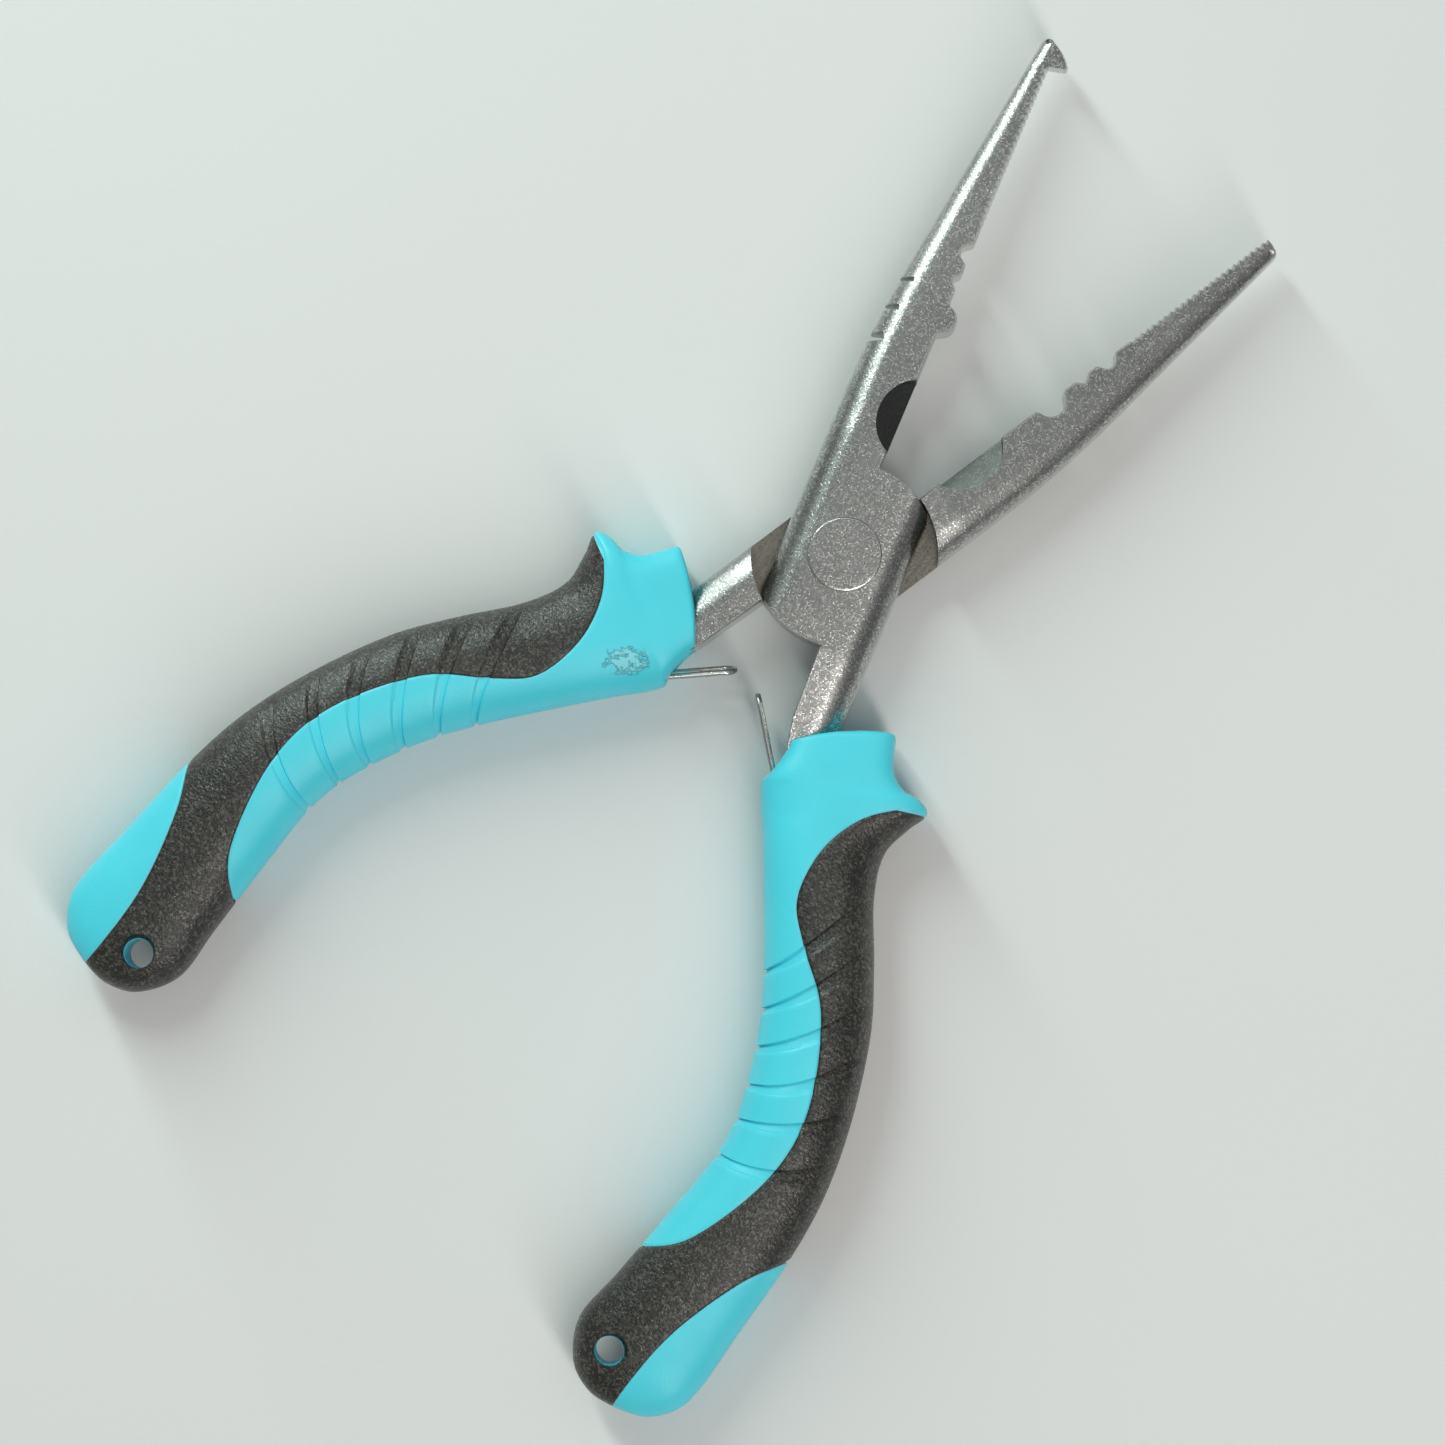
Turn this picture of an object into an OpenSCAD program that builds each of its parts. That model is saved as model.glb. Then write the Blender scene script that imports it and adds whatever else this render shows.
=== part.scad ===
// Long-nose split-ring fishing pliers: two forged levers crossing in a riveted lap joint,
// two-colour moulded grips and a pair of hairpin wire springs that push the handles apart.
// Everything is drawn in one lever's own frame: pivot at the origin, +Y along the closed jaws,
// this lever's jaw on the -X side, its handle on the +X side and its lap plate above z = 0.
// The second lever is the same frame turned half a turn about Y.

/* [Pose] */
// Angle between the two jaws as the pliers lie
opening = 30.2; // [0:0.1:60]

/* [Lap joint] */
// Thickness of the two lapped plates together
joint_t = 10.8; // [9:0.1:13]
// Radius of the round boss around the pivot
boss_r = 13.1; // [12.6:0.1:14]
// Half width of the lever at the joint
side_w = 9.1; // [8.4:0.1:9.6]
// Radius of the rounded boss corners
boss_corner_r = 3; // [1:0.1:4]
// Gap between the two lapped plates
lap_gap = 0.1; // [0.05:0.01:0.3]
// Radial gap between a boss and the shoulder it slides past
shoulder_gap = 0.15; // [0.1:0.01:0.4]
// Radius of the rivet's shank
rivet_r = 3.4; // [2.5:0.1:4.5]
// Radius of the rivet's flush heads
rivet_head_r = 5.2; // [5:0.1:6.5]
// Depth of each flush head
rivet_head_h = 1.6; // [1:0.1:2.5]
// Running clearance of the rivet in the plain lever
rivet_clearance = 0.05; // [0.02:0.01:0.1]

/* [Jaws] */
// Distance from the pivot to the end of the hooked jaw
hook_jaw_len = 79.5; // [76:0.1:84]
// Distance from the pivot to the end of the plain jaw
plain_jaw_len = 75.2; // [72:0.1:75.3]
// Taper angle of a jaw's outer edge
taper = 8.1; // [7:0.1:8.6]
// Radius of the arc that joins the taper to the straight side
back_r = 170; // [150:1:180]
// Distance from the pivot to the start of that arc
back_start = 20; // [16:0.5:22]
// Thickness of a jaw at its end
tip_t = 3.2; // [2.4:0.1:4]
// Gap between a gripping face and the centre plane
face_gap = 0.1; // [0.05:0.01:0.3]
// How far the split-ring hook reaches past the gripping face
hook_reach = 2.5; // [1.5:0.1:2.8]

/* [Teeth and notches] */
// Number of teeth on each jaw
teeth = 24; // [10:1:24]
// Pitch of the teeth
tooth_pitch = 1.03; // [0.8:0.01:1.03]
// Depth of the teeth
tooth_depth = 0.5; // [0.2:0.05:0.8]
// Distance from the pivot to the first tooth
teeth_start = 50.6; // [49:0.1:50.6]
// Distance from the pivot to the crimping nub and its socket
crimp_y = 36.4; // [35:0.1:38]
// Radius of the crimping nub
crimp_r = 2; // [1.5:0.1:2.2]
// Gap between the nub and its socket
crimp_gap = 0.25; // [0.2:0.05:0.5]
// Distances from the pivot to the two line notches
line_notch_y = [46.4, 42.1];
// Radii of the two line notches
line_notch_r = [1.4, 0.9];
// Distances from the pivot to the slots in the hooked jaw's back
back_slot_y = [39.25, 34.75, 30.05];
// Widths of those slots
back_slot_w = [0.65, 0.85, 1.2];
// Depth of those slots
back_slot_depth = 1.9; // [1:0.1:2.5]
// Slope of those slots, rising towards the jaw's end
back_slot_tilt = 22; // [0:1:30]

/* [Cutter] */
// Distance from the pivot to the middle of the side cutter
cutter_y = 21.8; // [21:0.1:23]
// Radius of the cutter's half-moon hollow
cutter_r = 6.2; // [5:0.1:6.5]
// How far the hollow reaches into the jaw
cutter_depth = 3.7; // [3:0.1:4.5]
// Half thickness of the metal left along the cutting edge
cutter_edge = 0.25; // [0.15:0.05:0.5]

/* [Grips] */
// Thickness of the soft skin over the grip's core
skin_t = 1.6; // [1:0.1:2.2]
// Squareness of a grip's section, where 2 is an ellipse
grip_square = 2.4; // [2:0.1:3]
// Radius of the lanyard hole through a grip's end
lanyard_r = 2.15; // [1.5:0.05:2.5]
// Thickness of the steel tang inside a grip
tang_t = 5; // [3:0.1:6]

/* [Springs] */
// Radius of the spring wire
wire_r = 0.44; // [0.3:0.01:0.5]
// Half distance between the two legs of a hairpin
leg_gap = 1.5; // [1:0.1:1.8]
// Radius, to the wire's centre, of the eye at each leg's root
eye_r = 0.55; // [0.5:0.05:0.6]
// Play around an eye in its pocket
eye_play = 0.15; // [0.1:0.05:0.2]

/* [Hidden] */
$fn = 64;
eps = 0.01;
half_t = joint_t / 2;
steel = [0.56, 0.56, 0.55];
nickel = [0.75, 0.75, 0.76];
cyan = [0.36, 0.86, 0.95];
soft_black = [0.16, 0.155, 0.15];

// Where the plain lever's grip sits, moved and turned on its tang, against the hook lever's.
seat_shift = [-1.2, 2.5];
seat_turn = 2.1;
seat_centre = [9, -24];

// Root and end of each hairpin, hook lever first.
spring_root = [[3.4, -33.4], [2.2, -30.9]];
spring_tip = [[-3.9, -22.6], [-3.7, -21.7]];
// Swing of a hairpin in its slot, each way, and the length of the slot.
swing = 25.5;
slot_len = 9;

// Lanyard hole in a grip's own place.
lanyard = [12.85, -116.2];

// Stations along a grip: inner edge x, y, outer edge x, y, thickness.
grip_stations = [
    [3.2, -27, 16.6, -20.4, 13],
    [3.1, -29, 18.3, -25.4, 13.6],
    [2.6, -31.2, 20.8, -27.4, 14],
    [2, -32.9, 23.5, -27.9, 14.2],
    [1.6, -34, 25.05, -29.4, 14.4],
    [2.7, -37, 23.4, -32.3, 14.8],
    [4.4, -40.4, 21.6, -37, 15.2],
    [8, -48.6, 22.8, -43.5, 15.6],
    [12.2, -58.7, 26.4, -52, 15.8],
    [15, -67.5, 29.8, -61.5, 16],
    [16.6, -78, 32, -74, 16],
    [16, -85.5, 32.5, -85, 15.6],
    [13, -95.5, 31.3, -95.5, 14.8],
    [9.6, -106, 28.8, -107, 13.6],
    [7.1, -113.5, 27, -115.6, 12.4],
    [8.6, -119.6, 25.2, -120, 10.2],
    [12.2, -122.7, 21.6, -122.9, 6.6],
    [16.4, -123.5, 17.6, -123.5, 2]
];

// Where the hard core shows next to the skin: first on the inner side, then at the tail.
skin_edge = [
    [27, -29.2], [24.9, -29.75], [22.9, -29.95], [21, -30.5], [16.5, -34], [13.2, -40],
    [12.6, -47.5], [16, -53.2], [22, -61], [25.6, -74], [24.2, -85], [17.5, -96.8], [11, -101.2], [6, -103]
];
tail_edge = [[34, -92], [31.3, -95.2], [26.3, -100.2], [20.3, -110], [17, -119.5], [15.6, -127]];

// Centre line and width of the tang inside a grip.
tang_line = [
    [6.6, -29], [10, -38], [14.6, -47], [19, -56.5], [22.3, -66], [24.3, -76], [24.2, -85],
    [22.2, -95], [19.6, -103]
];
tang_w = [5.4, 6, 6, 6, 6, 6, 5.6, 5, 4.4];

// Points on an arc, ends included.
function arc(c, r, from, to, n) =
    [for (i = [0:n]) let (a = from + (to - from) * i / n) c + r * [cos(a), sin(a)]];

// A smooth curve through a list of points, with n steps between each pair.
function at(p, i) = p[max(0, min(len(p) - 1, i))];
function curve_at(p, i, t) =
    let (a = at(p, i - 1), b = at(p, i), c = at(p, i + 1), d = at(p, i + 2))
    0.5 * (2 * b + (c - a) * t + (2 * a - 5 * b + 4 * c - d) * t * t
        + (3 * b - a - 3 * c + d) * t * t * t);
function curve(p, n) =
    concat([for (i = [0:len(p) - 2]) for (k = [0:n - 1]) curve_at(p, i, k / n)], [p[len(p) - 1]]);

// Half width of a jaw, from its gripping face to its back, at a distance y from the pivot.
function straight_end() = back_start + back_r * sin(taper);
function jaw_w(y) = y < back_start ? side_w
    : y < straight_end() ? side_w - back_r + sqrt(pow(back_r, 2) - pow(y - back_start, 2))
    : side_w - back_r * (1 - cos(taper)) - (y - straight_end()) * tan(taper);

// The jaw's back edge as points, from the joint to y.
function back_edge(y) = concat(
    [[-side_w, 0]],
    [for (p = arc([back_r - side_w, back_start], back_r, 180, 180 - taper, 8)) p],
    [[-jaw_w(y), y]]);

// Saw-tooth gripping face, from the end of the jaw back to the first tooth.
function tooth_row() = [for (i = [teeth:-1:1]) each [
    [-face_gap, teeth_start + i * tooth_pitch],
    [-face_gap - tooth_depth, teeth_start + (i - 0.5) * tooth_pitch]]];

// Profile of the end of the hooked jaw: rounded back, then the split-ring hook.
function hook_end() = concat(
    arc([-1.4, hook_jaw_len - 1.1], 1.1, 165, 60, 5),
    [[hook_reach - 1.4, hook_jaw_len - 1.4], [hook_reach - 0.6, hook_jaw_len - 2.2],
     [hook_reach, hook_jaw_len - 3], [hook_reach - 0.2, hook_jaw_len - 3.35],
     [0.2, hook_jaw_len - 3.8]]);

// Profile of the end of the plain jaw.
function plain_end() = concat(
    arc([1.2 - jaw_w(plain_jaw_len), plain_jaw_len - 1.2], 1.2, 180, 90, 4),
    [[-face_gap - 0.3, plain_jaw_len]]);

module jaw_outline(hook) {
    end_y = hook ? hook_jaw_len - 1.5 : plain_jaw_len - 1.5;
    difference() {
        union() {
            polygon(concat(back_edge(end_y), hook ? hook_end() : plain_end(), tooth_row(),
                [[-face_gap, teeth_start], [-face_gap, 0]]));
            if (hook) translate([-face_gap, crimp_y]) circle(crimp_r);
        }
        for (i = [0, 1]) translate([-face_gap, line_notch_y[i]]) circle(line_notch_r[i]);
        if (!hook) translate([-face_gap, crimp_y]) circle(crimp_r + crimp_gap);
        if (hook) for (i = [0:len(back_slot_y) - 1])
            translate([-jaw_w(back_slot_y[i]), back_slot_y[i]]) rotate(back_slot_tilt)
                translate([-2, -back_slot_w[i] / 2]) square([back_slot_depth + 2.2, back_slot_w[i]]);
    }
}

// The boss is a band across a circle, with its two free corners rounded.
module boss_outline() {
    reach = boss_r - boss_corner_r;
    corner_x = side_w - boss_corner_r;
    corner_y = sqrt(pow(reach, 2) - pow(corner_x, 2));
    intersection() {
        circle(boss_r);
        translate([-side_w, -boss_r]) square([2 * side_w, 2 * boss_r]);
        union() {
            for (s = [-1, 1]) translate([s * corner_x, s * corner_y]) circle(boss_corner_r);
            polygon([
                [-side_w, -corner_y], [-corner_x * boss_r / reach, -corner_y * boss_r / reach],
                [-corner_x, -boss_r], [side_w, -boss_r], [side_w, corner_y],
                [corner_x * boss_r / reach, corner_y * boss_r / reach], [corner_x, boss_r],
                [-side_w, boss_r]]);
        }
    }
}

// The neck runs down from the joint and leans in where it enters the grip.
module neck_outline() {
    polygon([
        [1.8, 0], [side_w, 0], [side_w + 0.1, -24], [side_w, -30], [7.2, -33],
        [4.4, -31.5], [2.9, -28], [2.1, -24], [1.8, -13]]);
}

function unit(v) = v / norm(v);
function side(p, i) = let (d = unit(at(p, i + 1) - at(p, i - 1))) [-d[1], d[0]];
module tang_outline() {
    n = len(tang_line) - 1;
    polygon(concat(
        [for (i = [0:n]) tang_line[i] + side(tang_line, i) * tang_w[i] / 2],
        [for (i = [n:-1:0]) tang_line[i] - side(tang_line, i) * tang_w[i] / 2]));
}

// Thickness of jaw and neck seen from the side, drawn with y as x and z as y.
module side_profile() {
    end = hook_jaw_len + 1;
    flat = back_start - 4;
    polygon([
        [-40, -3.6], [-30, -4.4], [-14, -half_t], [flat, -half_t], [end, -tip_t / 2],
        [end, tip_t / 2], [flat, half_t], [-14, half_t], [-30, 4.4], [-40, 3.6]]);
}

// Half-moon hollow of the side cutter, its floor sloping down to the cutting edge.
module cutter_hollow() {
    intersection() {
        translate([cutter_r - cutter_depth, cutter_y, 0]) cylinder(r = cutter_r, h = half_t + 1);
        translate([0, cutter_y - 10, 0]) rotate([-90, 0, 0]) linear_extrude(20)
            polygon([
                [cutter_r, -cutter_edge], [-face_gap, -cutter_edge],
                [-cutter_depth - 1, -half_t + 1.6], [-cutter_depth - 1, -half_t - 1],
                [cutter_r, -half_t - 1]]);
    }
}

// Everything the other lever's plate needs free around the pivot.
module lap_pocket() {
    translate([0, 0, -half_t - 1]) cylinder(r = boss_r + shoulder_gap, h = half_t + 1 + lap_gap / 2);
}

module lever_solid(hook) {
    difference() {
        intersection() {
            translate([0, 0, -half_t]) linear_extrude(joint_t) union() {
                jaw_outline(hook);
                boss_outline();
                neck_outline();
            }
            rotate([90, 0, 90]) translate([0, 0, -20]) linear_extrude(40) side_profile();
        }
        lap_pocket();
        cutter_hollow();
        mirror([0, 0, 1]) cutter_hollow();
    }
    tang_solid();
}

module tang_solid() {
    translate([0, 0, -tang_t / 2]) linear_extrude(tang_t) tang_outline();
}

// Shank with a flush head at each end. grow widens it into the hole it turns in.
module rivet_solid(grow = 0) {
    cylinder(r = rivet_r + grow, h = joint_t, center = true);
    for (s = [-1, 1]) translate([0, 0, s * (half_t - rivet_head_h / 2)])
        cylinder(r = rivet_head_r + grow, h = rivet_head_h, center = true);
}

// Puts a shape drawn in a lever's own frame where that lever lies.
module lay(hook) {
    translate([0, 0, half_t]) rotate(hook ? opening / 2 : -opening / 2)
        rotate([0, hook ? 0 : 180, 0]) children();
}

// Puts a shape drawn in the hook lever's grip on either lever's tang.
module seat(hook) {
    if (hook) children();
    else translate(seat_shift) translate(seat_centre) rotate(seat_turn)
        translate(-seat_centre) children();
}

module lever(hook) {
    color(steel) lay(hook) difference() {
        lever_solid(hook);
        if (hook) rivet_solid();
        else {
            cylinder(r = rivet_r + rivet_clearance, h = joint_t + 2, center = true);
            translate([0, 0, half_t - rivet_head_h - rivet_clearance])
                cylinder(r = rivet_head_r + rivet_clearance, h = rivet_head_h + 1);
        }
    }
}

module pivot_rivet() {
    color(steel) lay(true) rivet_solid();
}

// One ring of a grip's surface. inset shrinks it all round.
ring_n = 16;
function power(v) = sign(v) * pow(abs(v), 2 / grip_square);
function ring(s, inset) =
    let (a = [s[0], s[1]], b = [s[2], s[3]], mid = (a + b) / 2, dir = unit(b - a),
         w = max(0.3, norm(b - a) / 2 - inset), t = max(0.3, s[4] / 2 - inset))
    [for (k = [0:ring_n - 1]) let (u = power(cos(360 * k / ring_n)), v = power(sin(360 * k / ring_n)))
        [mid[0] + dir[0] * w * u, mid[1] + dir[1] * w * u, t * v]];

// Closed solid through a run of stations.
module loft(stations, inset) {
    last = (len(stations) - 1) * ring_n;
    points = [for (s = stations) each ring(s, inset)];
    wall = [for (i = [0:ring_n:last - 1]) for (k = [0:ring_n - 1])
        let (a = i + k, b = i + (k + 1) % ring_n)
        each [[a, b + ring_n, b], [a, a + ring_n, b + ring_n]]];
    caps = [for (k = [1:ring_n - 2]) each [[0, k, k + 1], [last, last + k + 1, last + k]]];
    polyhedron(points, concat(wall, caps));
}

module grip_body() {
    loft(curve(grip_stations, 2), 0);
}

// The core under the skin: the same form, smaller all round and shorter at both ends.
module grip_inner() {
    last = len(grip_stations) - 1;
    loft(curve([for (i = [1:last - 2]) grip_stations[i]], 2), skin_t);
}

// Plan area of the skin, well past the grip's own outline on the outer side and at the end.
function reversed(p) = [for (i = [len(p) - 1:-1:0]) p[i]];
module skin_area() {
    polygon(concat(curve(skin_edge, 3), [[-10, -108], [-10, -135], [15, -135]],
        reversed(curve(tail_edge, 3)), [[45, -92], [45, -20], [27, -20]]));
}

module skin_space() {
    difference() {
        translate([0, 0, -15]) linear_extrude(30) skin_area();
        grip_inner();
    }
}

module lanyard_hole() {
    translate([lanyard[0], lanyard[1], -15]) cylinder(r = lanyard_r, h = 30);
}

// Round pocket for the spring's eyes and the flared slot that its legs swing in.
module spring_pocket(hook) {
    root = spring_root[hook ? 0 : 1];
    tall = leg_gap + wire_r + eye_play;
    play = wire_r + eye_play;
    far = slot_len * [cos(swing), sin(swing)];
    translate([root[0], root[1], -tall]) rotate(spring_aim(hook)) {
        cylinder(r = eye_r + play, h = 2 * tall);
        linear_extrude(2 * tall)
            polygon([[0, -play], far - [0, 2 * far[1] + play], [slot_len, 0], far + [0, play], [0, play]]);
    }
}

function spring_aim(hook) =
    let (i = hook ? 0 : 1, d = spring_tip[i] - spring_root[i]) atan2(d[1], d[0]);

module grip_core(hook) {
    color(cyan) lay(hook) difference() {
        seat(hook) difference() {
            grip_body();
            skin_space();
            lanyard_hole();
        }
        lever_solid(hook);
        spring_pocket(hook);
    }
}

module grip_skin(hook) {
    color(soft_black) lay(hook) seat(hook) difference() {
        intersection() {
            grip_body();
            skin_space();
        }
        lanyard_hole();
    }
}

// Hairpin: two legs one above the other, a round closed end, and an eye at each root.
module spring(hook) {
    i = hook ? 0 : 1;
    root = spring_root[i];
    leg = norm(spring_tip[i] - root) - leg_gap - wire_r;
    color(nickel) lay(hook) translate([root[0], root[1], 0]) rotate(spring_aim(hook)) {
        for (s = [-1, 1]) translate([0, 0, s * leg_gap]) {
            translate([eye_r, 0, 0]) rotate([0, 90, 0]) cylinder(r = wire_r, h = leg - eye_r);
            rotate_extrude() translate([eye_r, 0]) circle(wire_r);
        }
        translate([leg, 0, 0]) rotate([90, 0, 0]) rotate([0, 0, -90]) rotate_extrude(angle = 180)
            translate([leg_gap, 0]) circle(wire_r);
    }
}

lever(true);  // lever_hook
lever(false);  // lever_plain
pivot_rivet();
grip_core(true);  // grip_core_hook
grip_core(false);  // grip_core_plain
grip_skin(true);  // grip_skin_hook
grip_skin(false);  // grip_skin_plain
spring(true);  // spring_hook
spring(false);  // spring_plain
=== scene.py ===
"""Long-nose split-ring fishing pliers: two forged steel levers on a flush rivet, two-colour moulded
grips and a pair of hairpin wire springs, lying on a pale table. Laid out as a Blender add-on and run
as a script. Pieces are drawn in millimetres in one lever's own frame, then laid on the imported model."""

import math
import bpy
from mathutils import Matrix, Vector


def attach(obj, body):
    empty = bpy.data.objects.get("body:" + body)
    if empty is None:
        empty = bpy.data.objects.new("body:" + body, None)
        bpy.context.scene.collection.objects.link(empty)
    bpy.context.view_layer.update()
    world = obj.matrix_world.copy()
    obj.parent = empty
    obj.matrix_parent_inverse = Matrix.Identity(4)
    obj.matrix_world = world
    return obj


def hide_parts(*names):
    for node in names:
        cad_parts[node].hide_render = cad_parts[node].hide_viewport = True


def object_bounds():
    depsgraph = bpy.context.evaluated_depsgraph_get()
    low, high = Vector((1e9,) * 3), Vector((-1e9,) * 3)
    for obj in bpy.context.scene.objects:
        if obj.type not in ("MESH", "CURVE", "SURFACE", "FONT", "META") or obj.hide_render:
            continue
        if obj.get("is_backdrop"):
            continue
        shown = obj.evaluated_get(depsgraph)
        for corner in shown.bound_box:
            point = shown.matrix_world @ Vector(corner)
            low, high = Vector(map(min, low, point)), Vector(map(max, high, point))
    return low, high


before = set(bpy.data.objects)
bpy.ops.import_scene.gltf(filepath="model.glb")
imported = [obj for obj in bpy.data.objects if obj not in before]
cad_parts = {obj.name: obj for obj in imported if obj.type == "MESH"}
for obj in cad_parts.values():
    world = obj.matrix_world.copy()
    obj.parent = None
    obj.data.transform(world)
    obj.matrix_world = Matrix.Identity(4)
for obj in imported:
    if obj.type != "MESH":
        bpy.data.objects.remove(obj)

from types import SimpleNamespace

import bmesh
import bpy
import numpy as np
from bpy.props import FloatProperty, FloatVectorProperty, IntProperty, PointerProperty
from mathutils import Matrix, Vector

bl_info = {
    "name": "Split-Ring Fishing Pliers",
    "version": (1, 0, 0),
    "blender": (4, 5, 0),
    "location": "3D View > Sidebar > Pliers",
    "description": "Builds a pair of long-nose fishing pliers piece by piece",
    "category": "Add Mesh",
}

MM = 0.001


# ---- Sizes and colours a user would change ----

def length(name, description, value):
    """A length property, given in millimetres."""
    return FloatProperty(name=name, description=description, default=value * MM, min=0, precision=5,
                         unit="LENGTH")


def colour(name, description, value):
    """A colour property."""
    return FloatVectorProperty(name=name, description=description, default=value, size=3, min=0, max=1,
                               subtype="COLOR")


class LeverSizes(bpy.types.PropertyGroup):
    """Sizes of the forged levers and their rivet"""
    opening: FloatProperty(name="Opening", description="Angle between the two jaws",
                           default=math.radians(30.2), min=0, max=math.radians(60), subtype="ANGLE")
    joint: length("Joint thickness", "Thickness of the two lapped plates together", 10.8)
    boss: length("Boss radius", "Radius of the round boss around the pivot", 13.1)
    side: length("Half width", "Half width of a lever at the joint", 9.1)
    corner: length("Boss corner", "Radius of the rounded boss corners", 3)
    lap_gap: length("Lap gap", "Gap between the two lapped plates", 0.1)
    shoulder_gap: length("Shoulder gap", "Gap between a boss and the shoulder it slides past", 0.15)
    rivet: length("Rivet radius", "Radius of the rivet's shank", 3.4)
    rivet_head: length("Rivet head radius", "Radius of the rivet's flush heads", 5.2)
    head_depth: length("Rivet head depth", "Depth of each flush head", 1.6)
    edge_round: length("Edge rounding", "Radius along a lever's outer long edges", 3.9)
    edge_break: length("Edge break", "Width of the small chamfer on the other edges", 0.2)
    hook_jaw: length("Hooked jaw", "Distance from the pivot to the end of the hooked jaw", 79.5)
    plain_jaw: length("Plain jaw", "Distance from the pivot to the end of the plain jaw", 75.2)
    tip: length("Tip thickness", "Thickness of a jaw at its end", 3.2)
    tooth_pitch: length("Tooth pitch", "Pitch of the gripping teeth", 1.03)
    tooth_depth: length("Tooth depth", "Depth of the gripping teeth", 0.5)
    teeth: IntProperty(name="Teeth", description="Number of teeth on each jaw", default=24, min=1)


class GripSizes(bpy.types.PropertyGroup):
    """Sizes of the moulded grips"""
    skin: length("Skin thickness", "Thickness of the soft skin over the core", 1.5)
    ripple: length("Ripple depth", "Depth of the finger ripples", 0.52)
    groove: length("Groove depth", "Depth of the fine groove where the two colours meet", 0.26)
    lip: length("Lip width", "Width of the rounded lip beside that groove", 0.42)
    collar_round: length("Collar rounding", "Radius around the end of the collar", 1.0)
    collar_bow: length("Collar bow", "How far the middle of the collar's end bows out", 0.7)
    lanyard: length("Lanyard hole", "Radius of the lanyard hole", 2.15)


class SpringSizes(bpy.types.PropertyGroup):
    """Sizes of the hairpin wire springs"""
    wire: length("Wire radius", "Radius of the spring wire", 0.44)
    legs: length("Leg spacing", "Half distance between the two legs", 1.5)
    eye: length("Eye radius", "Radius of the eye at each leg's root", 0.55)
    roll: FloatProperty(name="Roll", description="How far the plain lever's spring leans over",
                        default=math.radians(14), subtype="ANGLE")


class Finishes(bpy.types.PropertyGroup):
    """Colours of the materials"""
    steel: colour("Steel", "Bead-blasted steel", (0.25, 0.25, 0.245))
    # Bright steel also paints the highlight ring on the rivet head's rim.
    steel_light: colour("Bright steel", "Bright grains and rubbed edges of the steel", (0.78, 0.78, 0.75))
    ground: colour("Ground steel", "Warm ground steel of the lapped faces", (0.34, 0.32, 0.28))
    # The dark cutter colour is painted shade in the side-cutter hollows.
    cutter: colour("Cutter steel", "Dark ground steel of the side cutters", (0.15, 0.155, 0.15))
    wire: colour("Wire", "Nickel-bright spring wire", (0.66, 0.65, 0.62))
    core: colour("Core", "Hard cyan plastic", (0.095, 0.79, 0.93))
    core_deep: colour("Deep core", "The same plastic where it is dull", (0.03, 0.56, 0.74))
    skin: colour("Skin", "Soft black rubber", (0.007, 0.0066, 0.0058))
    # Pale specks on the grain: painted glints of the rubber's sparkle.
    skin_dust: colour("Skin dust", "Pale grains on the rubber", (0.17, 0.158, 0.132))
    table: colour("Table", "The pale table top", (0.86, 0.86, 0.85))


def in_mm(group):
    """A group's values with its lengths in millimetres, the unit the pieces are drawn in."""
    values = {}
    for key, prop in group.bl_rna.properties.items():
        if key in group.__annotations__:
            scale = 1000 if getattr(prop, "unit", "") == "LENGTH" else 1
            values[key] = getattr(group, key) * scale
    return SimpleNamespace(**values)


# ---- Shapes of the levers, in millimetres ----

TAPER = math.radians(8.1)
BACK_RADIUS = 170
BACK_START = 20
FACE_GAP = 0.1
TEETH_START = 50.6
NOTCHES_START = 32
CRIMP = (36.4, 2.0, 0.25)            # distance from the pivot, nub radius, gap around it
LINE_NOTCHES = ((46.4, 1.4), (42.1, 0.9))
BACK_SLOTS = ((39.25, 0.65), (34.75, 0.85), (30.05, 1.2))
SLOT_DEPTH = 2.1
SLOT_OUTSIDE = 2.0                   # how far a slot's cutting box stands out of the jaw's back
SLOT_CORNER = 0.12
SLOT_TILT = math.radians(22)
CUTTER_CENTRE = {"hook": (2.6, 21.3), "plain": (2.5, 22.2)}
CUTTER_RADIUS = 6.2
CUTTER_EDGE = 0.25
CUTTER_SLOPE = (-3.55, 0, -4.6)      # square to the hollow's sloping floor
GROUND_LAP, GROUND_CUTTER = 1, 2     # values of the face mark that the steel material reads
RIVET_PLAY = 0.05

# Steps to either side, and their weights out of 16, that rub the corners of the notches round.
RUB_WEIGHTS = ((-0.42, 1), (-0.28, 2), (-0.14, 3), (0, 4), (0.14, 3), (0.28, 2), (0.42, 1))

# The split-ring hook: reach past the centre line, by distance from the jaw's end.
HOOK_SHAPE = ((0, -1.35), (0.1, -0.88), (0.35, -0.5), (0.7, 0.1), (1.2, 0.86), (1.8, 1.5), (2.4, 2.04),
              (2.85, 2.38), (3.05, 2.48), (3.2, 2.42), (3.35, 2.15), (3.6, 1.1), (3.85, 0.05), (3.95, -0.1))

# Roundings at the two jaws' ends, and where the hooked jaw's starts on its back.
HOOK_END_ROUND = 1.1
PLAIN_END_ROUND = 1.3
HOOK_END_BACK = -1.4

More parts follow.
